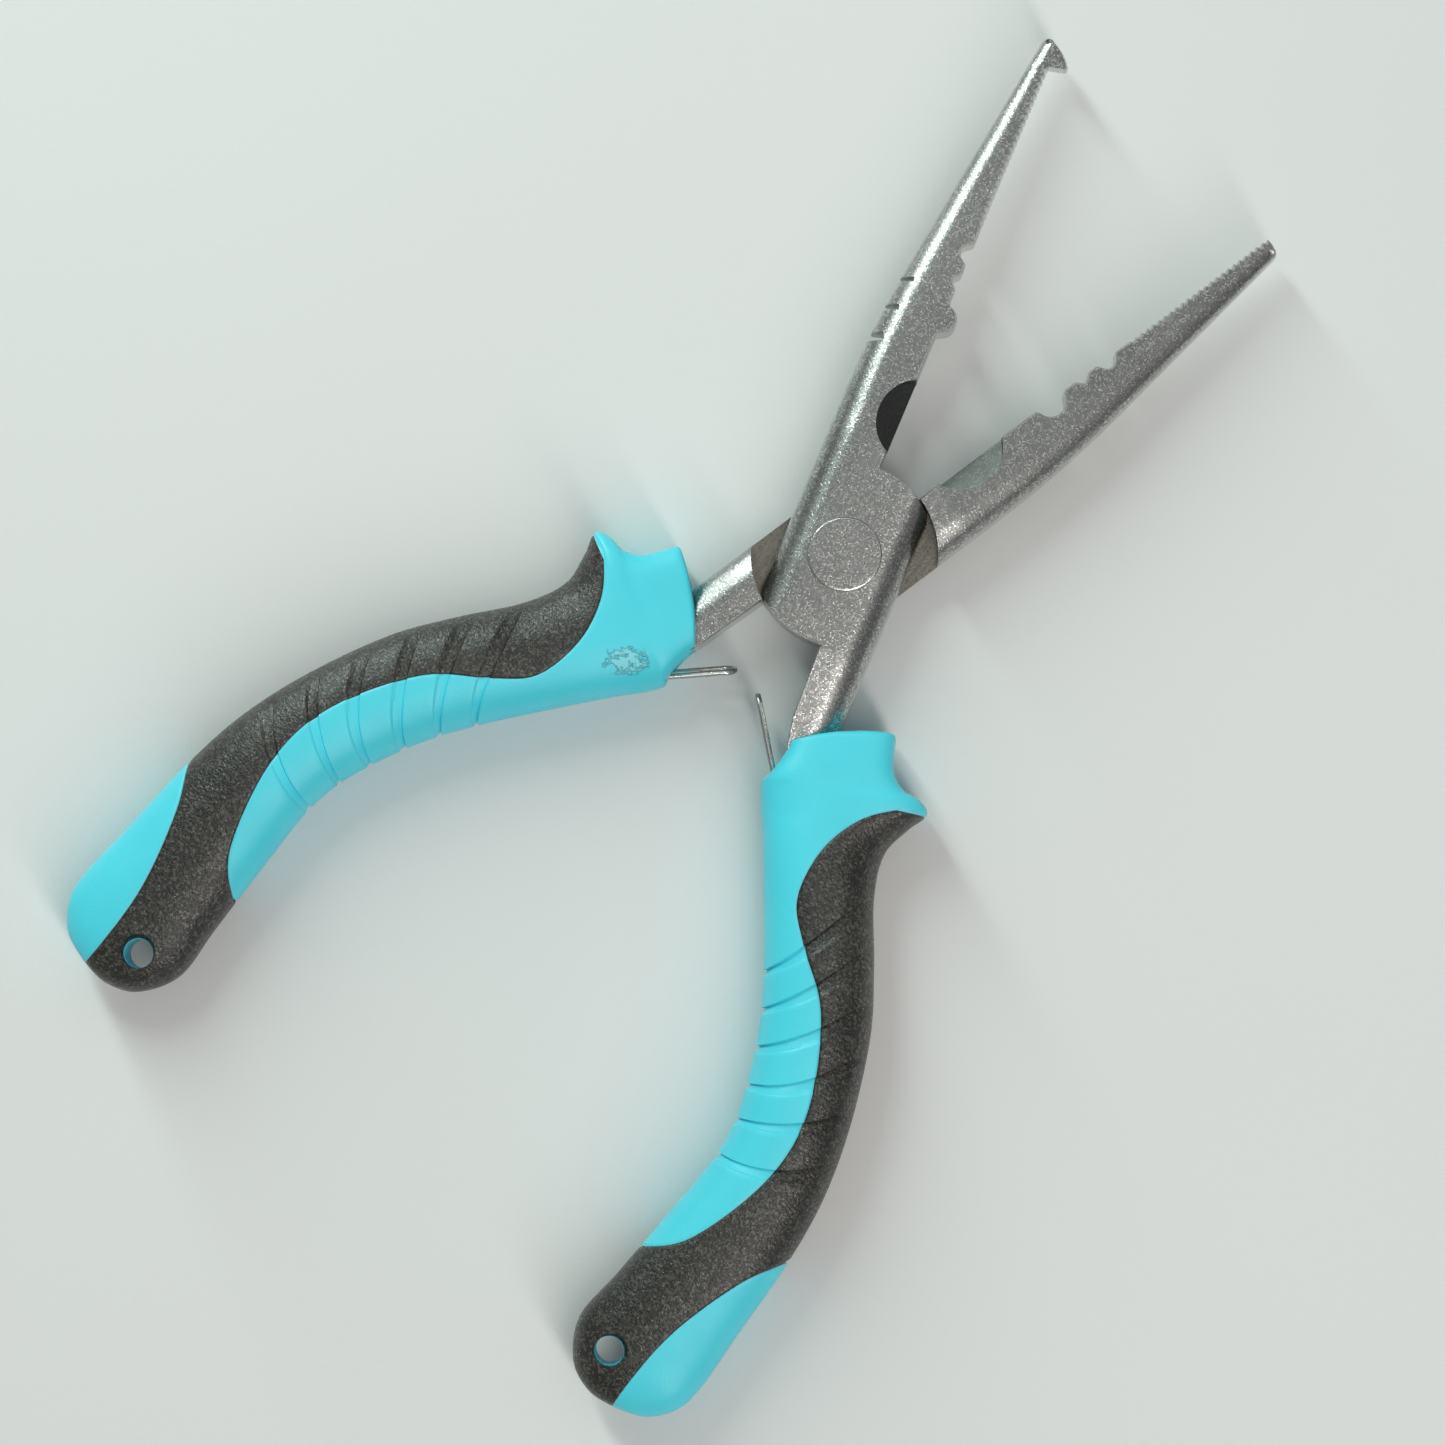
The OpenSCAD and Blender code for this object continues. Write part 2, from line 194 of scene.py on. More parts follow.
# Distances from the pivot at which the hook, the notches, the jaw, the neck and the tang are drawn.
HOOK_STATIONS = [78, 77.7, 77.4, 77.1, 76.85, 76.65, 76.5, 76.4, 76.3, 76.15, 76.0, 75.9, 75.8, 75.65, 75.54]
NOTCH_STATIONS = [50.4 - 0.16 * k for k in range(116)]
JAW_STATIONS = [31.5 - 0.9 * k for k in range(20)]
NECK_STATIONS = [-14, -16, -18, -20, -22, -24, -26, -28, -29, -30, -31, -32, -33, -34, -36]
TANG_STATIONS = [-40, -45, -50, -56, -61, -66, -71, -76, -80, -85, -90, -95, -99, -103]

# Inner and outer side of the neck and tang, by distance from the pivot.
NECK_INNER = ((-103, 16.9), (-95, 19.6), (-85, 21.3), (-76, 21.3), (-66, 19.2), (-56.5, 15.8),
              (-47, 11.2), (-38, 6.7), (-33.5, 5.2), (-31.5, 4.4), (-28, 2.9), (-24, 2.1), (-13.2, 1.8))
NECK_OUTER = ((-103, 21.5), (-95, 24.9), (-85, 27.1), (-76, 27.3), (-66, 25.4), (-56.5, 22.2),
              (-47, 18), (-38, 13.3), (-33.5, 11), (-30, 9.1), (-24, 9.2), (0, 9.1))
ROUND_TAPER = ((0, 1), (20, 0.95), (80, 0.42))      # how the outer rounding shrinks towards the tip
TANG_START = -34                     # past this a lever runs inside its grip
SIDE_PROFILE = ((-103, 2.4), (-36, 2.5), (-33, 3.4), (-30, 4.4), (-14, 5.4), (16, 5.4), (80.5, 1.6))


def clamp(value, low, high):
    """The value, kept between two others."""
    return max(low, min(high, value))


def ease(low, high, value):
    """0 below low and 1 above high, with a soft start and end."""
    share = clamp((value - low) / (high - low), 0, 1)
    return share * share * (3 - 2 * share)


def along(points, key):
    """Straight interpolation in a short list of (key, value) pairs."""
    keys, values = zip(*points)
    return float(np.interp(key, keys, values))


def jaw_width(size, y):
    """Width of a jaw from its gripping face to its back."""
    bend_end = BACK_START + BACK_RADIUS * math.sin(TAPER)
    if y < BACK_START:
        return size.side
    if y < bend_end:
        return size.side - BACK_RADIUS + math.sqrt(BACK_RADIUS ** 2 - (y - BACK_START) ** 2)
    return size.side - BACK_RADIUS * (1 - math.cos(TAPER)) - (y - bend_end) * math.tan(TAPER)


def boss_edge(size, y):
    """How far the boss reaches from the pivot's centre line on a side with a rounded corner."""
    reach = size.boss - size.corner
    corner_x = size.side - size.corner
    corner_y = math.sqrt(reach ** 2 - corner_x ** 2)
    if y <= corner_y:
        return size.side
    turn = corner_y * size.boss / reach
    if y < turn:
        return corner_x + math.sqrt(max(0, size.corner ** 2 - (y - corner_y) ** 2))
    return math.sqrt(max(0, size.boss ** 2 - y ** 2))


def grip_face(size, hook, y):
    """The gripping face seen from above: teeth, line notches and the crimping nub or its socket."""
    x = -FACE_GAP
    teeth_end = TEETH_START + size.teeth * size.tooth_pitch
    if TEETH_START < y < teeth_end:
        share = (y - TEETH_START) / size.tooth_pitch % 1
        x -= size.tooth_depth * (1 - abs(2 * share - 1))
    for centre, radius in LINE_NOTCHES:
        if abs(y - centre) < radius:
            x = min(x, -FACE_GAP - math.sqrt(radius ** 2 - (y - centre) ** 2))
    centre, radius, gap = CRIMP
    if hook and abs(y - centre) < radius:
        x = max(x, -FACE_GAP + math.sqrt(radius ** 2 - (y - centre) ** 2))
    if not hook and abs(y - centre) < radius + gap:
        x = min(x, -FACE_GAP - math.sqrt((radius + gap) ** 2 - (y - centre) ** 2))
    return x


def soft_face(size, hook, y):
    """The gripping face with the corners of its notches rubbed round."""
    if not NOTCHES_START <= y <= TEETH_START - 0.2:
        return grip_face(size, hook, y)
    return sum(grip_face(size, hook, y + step) * weight for step, weight in RUB_WEIGHTS) / 16


def inner_side(size, hook, y):
    """The side of a lever towards +X: gripping face, boss, then the outside of the neck."""
    if y > size.boss:
        if hook and y > size.hook_jaw - HOOK_SHAPE[-1][0]:
            return float(np.interp(size.hook_jaw - y, *zip(*HOOK_SHAPE)))
        return soft_face(size, hook, y)
    if y > 0:
        return max(-FACE_GAP, boss_edge(size, y))
    return along(NECK_OUTER, y)


def outer_side(size, hook, y):
    """The side of a lever towards -X: the jaw's back, the boss, then the inside of the neck."""
    if y >= 0:
        back = -jaw_width(size, y)
        end, radius = (size.hook_jaw, HOOK_END_ROUND) if hook else (size.plain_jaw, PLAIN_END_ROUND)
        if y > end - radius:
            base = HOOK_END_BACK if hook else radius - jaw_width(size, end - radius)
            return max(back, base - math.sqrt(max(0, radius ** 2 - (y - end + radius) ** 2)))
        return back
    if y >= -size.boss:
        return -boss_edge(size, -y)
    return along(NECK_INNER, y)


def bar_section(size, hook, y, columns=8):
    """One section of a lever as (x, z, edge) points: flat faces, rounded outer side, broken edges."""
    left = outer_side(size, hook, y)
    right = inner_side(size, hook, y)
    width = max(right - left, 0.02)
    half = along(SIDE_PROFILE, y)
    chamfer = min(size.edge_break, width / 6)
    guard = min(0.3, width / 6)
    big = min(size.edge_round * along(ROUND_TAPER, max(y, 0)), half * 0.93, width * 0.62)
    small = min(0.2, width / 5)
    jaw_side = y > -size.boss
    line_left, round_left = (-jaw_width(size, max(y, 0)), big) if jaw_side else (left, small)
    line_right, round_right = (right, small) if y > size.boss else (along(NECK_OUTER, min(y, 0)), big)
    if y < TANG_START:
        round_left = round_right = small
        line_left, line_right = left, right

    def height(x):
        z = half
        for gap, radius in ((x - line_left, round_left), (line_right - x, round_right)):
            if gap < radius:
                z = min(z, half - radius + math.sqrt(max(0, radius ** 2 - (radius - gap) ** 2)))
        return z

    turns = [math.pi / 2 * k / columns for k in range(columns + 1)]
    inner = [line_left + round_left * (1 - math.cos(a)) for a in turns]
    inner += [line_left + round_left + (line_right - round_right - line_left - round_left) * k / 5
              for k in range(1, 5)]
    inner += [line_right - round_right * (1 - math.cos(a)) for a in reversed(turns)]
    low, high = left + chamfer + guard, right - chamfer - guard
    row = [(left + chamfer, 1.0), (low, 0.0)]
    row += [(clamp(x, low, high), 0.0) for x in inner]
    row += [(high, 0.0), (right - chamfer, 1.0)]
    top = [(left, max(0.02, height(left) - chamfer), 1.0)]
    top += [(x, height(x), edge) for x, edge in row]
    top += [(right, max(0.02, height(right) - chamfer), 1.0)]
    under = [(x, -z, edge) for x, z, edge in reversed(top)]
    return top + under + top[:1]


def lever_stations(size, hook):
    """Distances from the pivot at which a lever's section is drawn, from the tip to the tang's end."""
    end = size.hook_jaw if hook else size.plain_jaw
    tip = [end - 1.2 * (1 - math.cos(math.pi / 2 * k / 7)) - 0.004 for k in range(8)]
    if hook:
        tip += HOOK_STATIONS
    step = size.tooth_pitch / 2
    teeth = [TEETH_START + step * k for k in range(2 * size.teeth, -1, -1)]
    teeth = [y for y in teeth if y < tip[-1] - 0.02]
    jaw = [y for y in JAW_STATIONS if y > size.boss + 0.4]
    boss = [size.boss * math.cos(math.pi * k / 56) for k in range(57)]
    boss[0] = size.boss + 0.001
    boss.append(-size.boss - 0.001)
    return tip + teeth + NOTCH_STATIONS + jaw + boss + NECK_STATIONS + TANG_STATIONS


def draped_grid(columns, rows, place):
    """A grid of quads with every vertex put where place(column, row) says."""
    bm = bmesh.new()
    bmesh.ops.create_grid(bm, x_segments=columns - 1, y_segments=rows - 1, size=1)
    bm.verts.ensure_lookup_table()
    for index, vert in enumerate(bm.verts):
        vert.co = place(index % columns, index // columns)
    return bm


def closed_up(bm, grain=0.0004):
    """Merges the seam, closes the ends and turns every face outwards."""
    bmesh.ops.remove_doubles(bm, verts=bm.verts, dist=grain)
    bmesh.ops.dissolve_degenerate(bm, edges=bm.edges, dist=grain)
    loose = [edge for edge in bm.edges if not edge.link_faces]
    bmesh.ops.delete(bm, geom=loose, context="EDGES")
    bmesh.ops.delete(bm, geom=[vert for vert in bm.verts if not vert.link_faces], context="VERTS")
    bmesh.ops.holes_fill(bm, edges=[edge for edge in bm.edges if edge.is_boundary])
    bmesh.ops.recalc_face_normals(bm, faces=bm.faces)
    return bm


def lever_bar(size, hook):
    """The whole forging before anything is cut into it."""
    sections = [(y, bar_section(size, hook, y)) for y in lever_stations(size, hook)]
    columns = len(sections[0][1])

    def place(column, row):
        y, section = sections[row]
        x, z, _ = section[column]
        return (x, y, z)

    bm = draped_grid(columns, len(sections), place)
    mark = bm.verts.layers.float.new("edge")
    for index, vert in enumerate(bm.verts):
        vert[mark] = sections[index // columns][1][index % columns][2]
    bm.faces.layers.float.new("ground")
    return closed_up(bm)


def disc(radius, bottom, top, centre=(0, 0), sides=96):
    """An upright cylinder."""
    bm = bmesh.new()
    place = Matrix.Translation((centre[0], centre[1], (bottom + top) / 2))
    bmesh.ops.create_cone(bm, cap_ends=True, segments=sides, radius1=radius, radius2=radius,
                          depth=top - bottom, matrix=place)
    return bm


def sliced(bm, point, normal):
    """Cuts off what lies past a plane and closes the cut."""
    geom = bm.verts[:] + bm.edges[:] + bm.faces[:]
    bmesh.ops.bisect_plane(bm, geom=geom, plane_co=point, plane_no=normal, clear_outer=True)
    bmesh.ops.holes_fill(bm, edges=[edge for edge in bm.edges if edge.is_boundary])
    return bm


def marked(bm, value):
    """Marks the faces that a cutting shape leaves behind."""
    mark = bm.faces.layers.float.new("ground")
    for face in bm.faces:
        face[mark] = value
    return bm


def cutter_hollow(side, face):
    """Half-moon hollow of the side cutter: its floor slopes down to the cutting edge."""
    bm = disc(CUTTER_RADIUS, -1, 7, CUTTER_CENTRE[side], 128)
    sliced(bm, (0, 0, CUTTER_EDGE), (0, 0, -1))
    sliced(bm, (-FACE_GAP, 0, CUTTER_EDGE), CUTTER_SLOPE)
    if face < 0:
        bmesh.ops.scale(bm, vec=(1, 1, -1), verts=bm.verts)
        bmesh.ops.reverse_faces(bm, faces=bm.faces)
    return bm


def back_slot(size, y, width):
    """A slot across the hooked jaw's back, with the corners of its floor rounded."""
    bm = bmesh.new()
    bmesh.ops.create_cube(bm, size=1)
    bmesh.ops.scale(bm, vec=(SLOT_DEPTH + SLOT_OUTSIDE, width, 16), verts=bm.verts)
    bmesh.ops.translate(bm, vec=((SLOT_DEPTH - SLOT_OUTSIDE) / 2, 0, 0), verts=bm.verts)
    upright = [edge for edge in bm.edges if abs(edge.verts[0].co.z - edge.verts[1].co.z) > 1]
    inner = [edge for edge in upright if edge.verts[0].co.x > 0]
    bmesh.ops.bevel(bm, geom=inner, offset=SLOT_CORNER, affect="EDGES", segments=2, profile=0.5, material=-1)
    turn = Matrix.Translation((-jaw_width(size, y), y, 0)) @ Matrix.Rotation(SLOT_TILT, 4, "Z")
    bmesh.ops.transform(bm, matrix=turn, verts=bm.verts)
    return bm


# ---- Shapes of the grips, in millimetres ----

# Inner edge x, y, outer edge x, y and thickness at stations along a grip.
GRIP_STATIONS = (
    (3.2, -27, 16.6, -20.4, 13), (3.1, -29, 18.3, -25.4, 13.6), (2.6, -31.2, 20.8, -27.4, 14),
    (2, -32.9, 23.5, -27.9, 14.2), (1.6, -34, 25.05, -29.4, 14.4), (2.7, -37, 23.4, -32.3, 14.8),
    (4.4, -40.4, 21.6, -37, 15.2),
    (8, -48.6, 22.8, -43.5, 15.6), (12.2, -58.7, 26.4, -52, 15.8), (15, -67.5, 29.8, -61.5, 16),
    (16.6, -78, 32, -74, 16), (16, -85.5, 32.5, -85, 15.6), (13, -95.5, 31.3, -95.5, 14.8),
    (9.6, -106, 28.8, -107, 13.6), (7.1, -113.5, 27, -115.6, 12.4), (8.6, -119.6, 25.2, -120, 10.2),
    (12.2, -122.7, 21.6, -122.9, 6.6), (16.4, -123.5, 17.6, -123.5, 2))

# Where cyan meets black: along the inner side, and at the tail.
SKIN_EDGE = ((27, -29.2), (24.9, -29.75), (22.9, -29.95), (21, -30.5), (16.5, -34), (13.2, -40),
             (12.6, -47.5), (16, -53.2), (22, -61), (25.6, -74), (24.2, -85), (17.5, -96.8), (11, -101.2),
             (6, -103))
TAIL_EDGE = ((34, -92), (31.3, -95.2), (26.3, -100.2), (20.3, -110), (17, -119.5), (15.6, -127))

# Finger ripples: the crease and the far edge of each, at the inner edge, mid grip and outer side.
RIPPLES = (
    (((12.2, -58.4), (16, -53.3), (21.8, -43.5)), ((12.6, -59.3), (17.4, -54.7), (22.4, -46.2))),
    (((13.9, -63.5), (19.6, -57.5), (24.7, -49.4)), ((14.2, -64.6), (20.8, -59.2), (25.6, -53.0))),
    (((15.4, -68.6), (22.8, -62.7), (27.3, -57)), ((15.7, -70), (23.6, -64.9), (27.8, -60.0))),
    (((16.6, -73.9), (25, -69.2), (29.8, -63.4)), ((17.2, -75), (25.5, -71.7), (29.6, -67.6))),
    (((16.9, -79), (25.8, -75.9), (31.5, -71.3)), ((17.4, -80), (25.7, -78), (31.4, -74.4))),
    (((16.2, -84.6), (25, -83.5), (32.1, -78.9)), ((16.3, -86), (24.4, -85.6), (31.9, -82.5))))

# Across one ripple, from crease to far edge: how far across, and how deep.
RIPPLE_STEPS = ((0, 0), (0.12, 1), (0.3, 0.8), (0.55, 0.62), (0.78, 0.5), (0.9, 0.1))

COLLAR_END = 0.25                    # stations that the collar's rounded end takes up
COLLAR_DIP = 0.22                    # how far the collar's outer half dips before its ledge
WELD = 0.0006                        # points of a grip nearer than this are merged
AT_SIDE = 0.9999                     # a colour edge past this has reached the grip's side
LIP_GAPS = (0.02, 0.14, 0.28, 0.45, 0.8)
COVERED_END = 16.3                   # station where the covered core and the skin's inside stop
CORE_COLUMNS = (("inner", 44), ("skin", 14), ("tail", 22))
SKIN_COLUMNS = (44, 14)              # over the outside of the skin, and back along its inside
LANYARD = (12.85, -116.2)
WIRE_SIDES = 20
SEAT_SHIFT = (-1.2, 2.5)
SEAT_TURN = math.radians(2.1)
SEAT_CENTRE = (9, -24)
SPRING_ROOT = {"hook": (3.4, -33.4), "plain": (2.2, -30.9)}
SPRING_TIP = {"hook": (-3.9, -22.6), "plain": (-3.7, -21.7)}
SPRING_SWING = math.radians(25.5)
SLOT_REACH = 13                      # how far a spring's slot runs from the spring's root
SLOT_BACK = -0.9
EYE_TURN = math.radians(300)
PLAY = 0.15                          # room beside the neck and round the springs, inside the core
PLAY_ABOVE = 0.12                    # room above and below the neck
POCKET_START = -16                   # where the neck's pocket starts, by distance from the pivot
POCKET_STEP = 2.5
SCUFF = (-14.8, -30.8, 12.4)         # where the plain lever's collar is scuffed, in the whole model
SCUFF_SIZE = (4.2, 2.7, 3)
SCUFF_TURN = math.radians(35)


def on_curve(points, t):
    """The point at t on a smooth curve through the points, where t counts points."""
    i = clamp(int(t), 0, len(points) - 2)
    f = t - i
    last = len(points) - 1
    a, b, c, d = (np.array(points[clamp(i + k, 0, last)], float) for k in (-1, 0, 1, 2))
    return 0.5 * (2 * b + (c - a) * f + (2 * a - 5 * b + 4 * c - d) * f * f
                  + (3 * b - a - 3 * c + d) * f ** 3)


def drawn_line(points, steps=6):
    """A smooth line through the points, as short straight pieces: starts and steps."""
    count = (len(points) - 1) * steps
    dots = np.array([on_curve(points, k / steps) for k in range(count + 1)])
    return dots[:-1], dots[1:] - dots[:-1]


SKIN_LINE = drawn_line(SKIN_EDGE)
TAIL_LINE = drawn_line(TAIL_EDGE)


def side_of(line, spot):
    """Distance from a spot to a drawn line, positive on the line's left."""
    starts, steps = line
    rel = np.asarray(spot) - starts
    share = np.clip((rel * steps).sum(1) / (steps * steps).sum(1), 0, 1)
    off = rel - steps * share[:, None]
    gaps = np.hypot(off[:, 0], off[:, 1])
    best = int(gaps.argmin())
    turn = steps[best, 0] * rel[best, 1] - steps[best, 1] * rel[best, 0]
    return math.copysign(gaps[best], turn)


def plan_spot(t, f):
    """Plan position at station t, with f from -1 at the inner edge to 1 at the outer."""
    s = on_curve(GRIP_STATIONS, t)
    return (s[:2] + s[2:4]) / 2 + (s[2:4] - s[:2]) / 2 * f


def locate(spot):
    """Station and crosswise place (f, t) of a plan position."""
    low, high = 3.0, 15.0
    for _ in range(40):
        t = (low + high) / 2
        s = on_curve(GRIP_STATIONS, t)
        across = s[2:4] - s[:2]
        rel = np.asarray(spot) - s[:2]
        if across[0] * rel[1] - across[1] * rel[0] > 0:
            high = t
        else:
            low = t
    return (2 * float(rel @ across) / float(across @ across) - 1, t)


def guide(spots):
    """A line across the grip, as three (f, t) pairs."""
    return tuple(locate(spot) for spot in spots)


def straight_across(t):
    """A line across the grip at one station."""
    return ((-1, t), (0, t), (1, t))


def guide_at(line, f):
    """Station at which a guide line stands at f."""
    (fa, ta), (fb, tb), (fc, tc) = line
    share_a = (f - fb) * (f - fc) / ((fa - fb) * (fa - fc))
    share_b = (f - fa) * (f - fc) / ((fb - fa) * (fb - fc))
    share_c = (f - fa) * (f - fb) / ((fc - fa) * (fc - fb))
    return ta * share_a + tb * share_b + tc * share_c


def row_plan():
    """Rows of the grip's surface: two guide lines, the share between them, and the ripple's depth."""
    fixed = [straight_across(t) for t in range(7)]
    tail = [straight_across(t) for t in (12, 13, 14, 15, 16, 17)]
    rows = [(fixed[0], fixed[1], COLLAR_END * (1 - math.cos(math.pi / 2 * k / 6)), 0) for k in range(6)]
    rows += [(fixed[0], fixed[1], COLLAR_END + (1 - COLLAR_END) * k / 8, 0) for k in range(8)]
    for a, b in zip(fixed[1:], fixed[2:]):
        rows += [(a, b, k / 10, 0) for k in range(10)]
    before = fixed[6]
    for number, (crease, far) in enumerate(RIPPLES):
        upper, lower = guide(crease), guide(far)
        count = 26 if number == 0 else 7
        rows += [(before, upper, k / count, 0) for k in range(count)]
        rows += [(upper, lower, share, depth) for share, depth in RIPPLE_STEPS]
        before = lower
    rows += [(before, tail[0], k / 14, 0) for k in range(14)]
    for a, b, count in zip(tail, tail[1:], (18, 14, 14, 12, 14)):
        rows += [(a, b, k / count, 0) for k in range(count)]
    rows += [(tail[4], tail[5], 1, 0), (tail[4], tail[5], 1.0001, 0)]
    return rows


def squareness(t):
    """A grip's section is boxy at the collar and nearly oval along the handle."""
    return 2.5 + 3.2 * (1 - ease(1.6, 5.6, t))


class Grip:
    """The outer form of a grip, laid out in rows, with the places where the two colours meet."""

    def __init__(self, size):
        self.size = size
        self.rows = []
        self.met = []
        for row in row_plan():
            self.add_row(row)

    def add_row(self, row, depth=0):
        """Adds a row, with rows in between where a colour edge runs nearly along the rows."""
        met = self.meetings(row)
        if self.rows and depth < 6 and row[2] <= 1:
            last = self.rows[-1]
            jump = max(abs(met[0] - self.met[-1][0]), abs(met[1] - self.met[-1][1]))
            if jump > 0.04 and last[2] <= 1:
                self.add_row(self.between(last, row), depth + 1)
                self.add_row(row, depth + 1)
                return
        self.rows.append(row)
        self.met.append(met)

    def between(self, last, row):
        """A row halfway between two others."""
        if last[:2] == row[:2]:
            return (row[0], row[1], (last[2] + row[2]) / 2, (last[3] + row[3]) / 2)
        return (last[0], last[1], (last[2] + 1) / 2, last[3] / 2)

    def station(self, row, f):
        """The station that a row crosses at f."""
        before, after, share, _ = row
        a, b = guide_at(before, f), guide_at(after, f)
        return clamp(a + (b - a) * share, 0, 17)

    def crossing(self, row, line, sign):
        """Where a colour edge crosses a row, from -1 at the inner edge to 1 at the outer."""
        def past(f):
            return sign * side_of(line, plan_spot(self.station(row, f), f)) > 0
        if past(-1):
            return -1.0
        if not past(1):
            return 1.0
        low, high = -1.0, 1.0
        for _ in range(18):
            f = (low + high) / 2
            low, high = (low, f) if past(f) else (f, high)
        return (low + high) / 2

    def meetings(self, row):
        """Where the skin begins and ends on a row."""
        first = self.crossing(row, SKIN_LINE, 1)
        second = self.crossing(row, TAIL_LINE, 1)
        return (first, max(first, second))

    def spot(self, index, f, inset, cap=17.0):
        """A point of the upper half of the surface, sunk by inset."""
        row = self.rows[index]
        t = min(self.station(row, f), cap)
        s = on_curve(GRIP_STATIONS, t)
        power = squareness(t)
        half = (s[2:4] - s[:2]) / 2
        width = float(np.hypot(*half))
        middle = (s[:2] + s[2:4]) / 2
        wide = max(0.25, width - inset)
        tall = max(0.25, s[4] / 2 - inset)
        if row[2] > 1:
            wide = tall = 0.02
        bow = self.size.collar_bow * (1 - f * f) * (1 - ease(0, 1.2, t)) * (row[2] <= 1)
        x, y = middle + half / width * wide * f + np.array((-half[1], half[0])) / width * bow
        rise = max(0.0, 1 - abs(f) ** power) ** (1 / power)
        return (x, y, tall * rise)

    def sunk(self, index, f):
        """How far the surface lies below the plain form, and how near the groove it is."""
        row = self.rows[index]
        t = self.station(row, f)
        size = self.size
        depth = size.ripple * row[3] * (1 - ease(0.5, 1.0, f))
        if t < COLLAR_END:
            depth += size.collar_round * (1 - math.sqrt(max(0, 1 - (1 - t / COLLAR_END) ** 2)))
        depth += COLLAR_DIP * ease(1.0, 2.2, t) * (1 - ease(2.5, 3.9, t)) * ease(-0.4, 0.4, f)
        spot = plan_spot(t, f)
        gap = min(abs(side_of(SKIN_LINE, spot)), abs(side_of(TAIL_LINE, spot)))
        fall = clamp(1 - gap / size.lip, 0, 1)
        return depth + size.groove * (1 - math.sqrt(max(0, 1 - fall * fall))), fall

    def columns(self, index, block, count):
        """Crosswise places of a block's columns: even round the section, closer at the groove."""
        first, second = self.met[index]
        start, end = {"inner": (-1, first), "skin": (first, second), "tail": (second, 1)}[block]
        t = self.station(self.rows[index], (start + end) / 2)
        power = squareness(t)
        s = on_curve(GRIP_STATIONS, t)
        width = max(1.0, float(np.hypot(*(s[2:4] - s[:2]))) / 2)
        lips = [gap / width for gap in LIP_GAPS]
        head = [start + lip for lip in lips] if block != "inner" else []
        foot = [end - lip for lip in reversed(lips)] if block != "tail" else []
        if head and start <= -AT_SIDE:
            head[0] = start
        if foot and end >= AT_SIDE:
            foot[-1] = end

        def angle(f):
            return math.acos(clamp(math.copysign(abs(f) ** (power / 2), f), -1, 1))

        low = min(start + (lips[-1] if head else 0), end)
        high = max(end - (lips[-1] if foot else 0), low)
        a, b = angle(low), angle(high)
        steps = count - len(head) - len(foot) - 1
        body = []
        for k in range(steps + 1):
            turn = math.cos(a + (b - a) * k / steps)
            body.append(math.copysign(abs(turn) ** (2 / power), turn))
        places = head + body + foot
        return [clamp(f, min(start, end), end) for f in places]


def both_halves(bm):
    """Joins the upper half of a grip to its mirror image below."""
    flat = [face for face in bm.faces if all(abs(vert.co.z) < 1e-5 for vert in face.verts)]
    bmesh.ops.delete(bm, geom=flat, context="FACES")
    bmesh.ops.remove_doubles(bm, verts=bm.verts, dist=WELD)
    geom = bm.verts[:] + bm.edges[:] + bm.faces[:]
    bmesh.ops.mirror(bm, geom=geom, merge_dist=WELD, axis="Z")
    return closed_up(bm, WELD)


def grip_core(grip):
    """The hard core: full size where it shows, sunk under the skin elsewhere."""
    recess = grip.size.skin + 0.06
    table = []
    for index in range(len(grip.rows)):
        line = []
        first, second = grip.met[index]
        covered = {"skin"}
        if first <= -AT_SIDE:
            covered.add("inner")
        if second >= AT_SIDE:
            covered.add("tail")
        for block, count in CORE_COLUMNS:
            for f in grip.columns(index, block, count):
                if block in covered:
                    line.append((grip.spot(index, f, recess, COVERED_END), 0.0))
                else:
                    inset, fall = grip.sunk(index, f)
                    line.append((grip.spot(index, f, inset), fall))
        table.append(line)
    return grip_half(table)


def grip_skin(grip):
    """The soft skin: a shell with a rounded lip, wrapped over the core."""
    table = []
    for index in range(len(grip.rows)):
        line = []
        for f in grip.columns(index, "skin", SKIN_COLUMNS[0]):
            inset, fall = grip.sunk(index, f)
            line.append((grip.spot(index, f, inset), fall))
        for f in reversed(grip.columns(index, "skin", SKIN_COLUMNS[1])):
            line.append((grip.spot(index, f, grip.size.skin, COVERED_END), 0.0))
        table.append(line + line[:1])
    return grip_half(table)


def grip_half(table):
    """A closed solid from a table of rows of (point, closeness to the groove)."""
    columns = len(table[0])
    bm = draped_grid(columns, len(table), lambda column, row: table[row][column][0])
    mark = bm.verts.layers.float.new("edge")
    for index, vert in enumerate(bm.verts):
        vert[mark] = table[index // columns][index % columns][1]
    return both_halves(bm)


def lanyard_cut(radius, flare):
    """The lanyard hole with softly flared mouths."""
    bm = bmesh.new()
    lower = [(0, -12), (radius + 3, -12), (radius + flare, -5.75), (radius + flare * 0.4, -5.35),
             (radius, -4.8)]
    turned(bm, mirrored(lower), 72)
    bmesh.ops.translate(bm, vec=(LANYARD[0], LANYARD[1], 0), verts=bm.verts)
    return bm


def mirrored(half):
    """A whole profile of (radius, height) points from its first half."""
    return half + [(radius, -height) for radius, height in reversed(half)]


def turned(bm, profile, sides):
    """A turned solid from its half profile of (radius, height) points."""
    verts = [bm.verts.new((radius, 0, height)) for radius, height in profile]
    edges = [bm.edges.new(pair) for pair in zip(verts, verts[1:])]
    bmesh.ops.spin(bm, geom=verts + edges, cent=(0, 0, 0), axis=(0, 0, 1), angle=math.tau,
                   steps=sides, use_merge=True)
    return closed_up(bm)


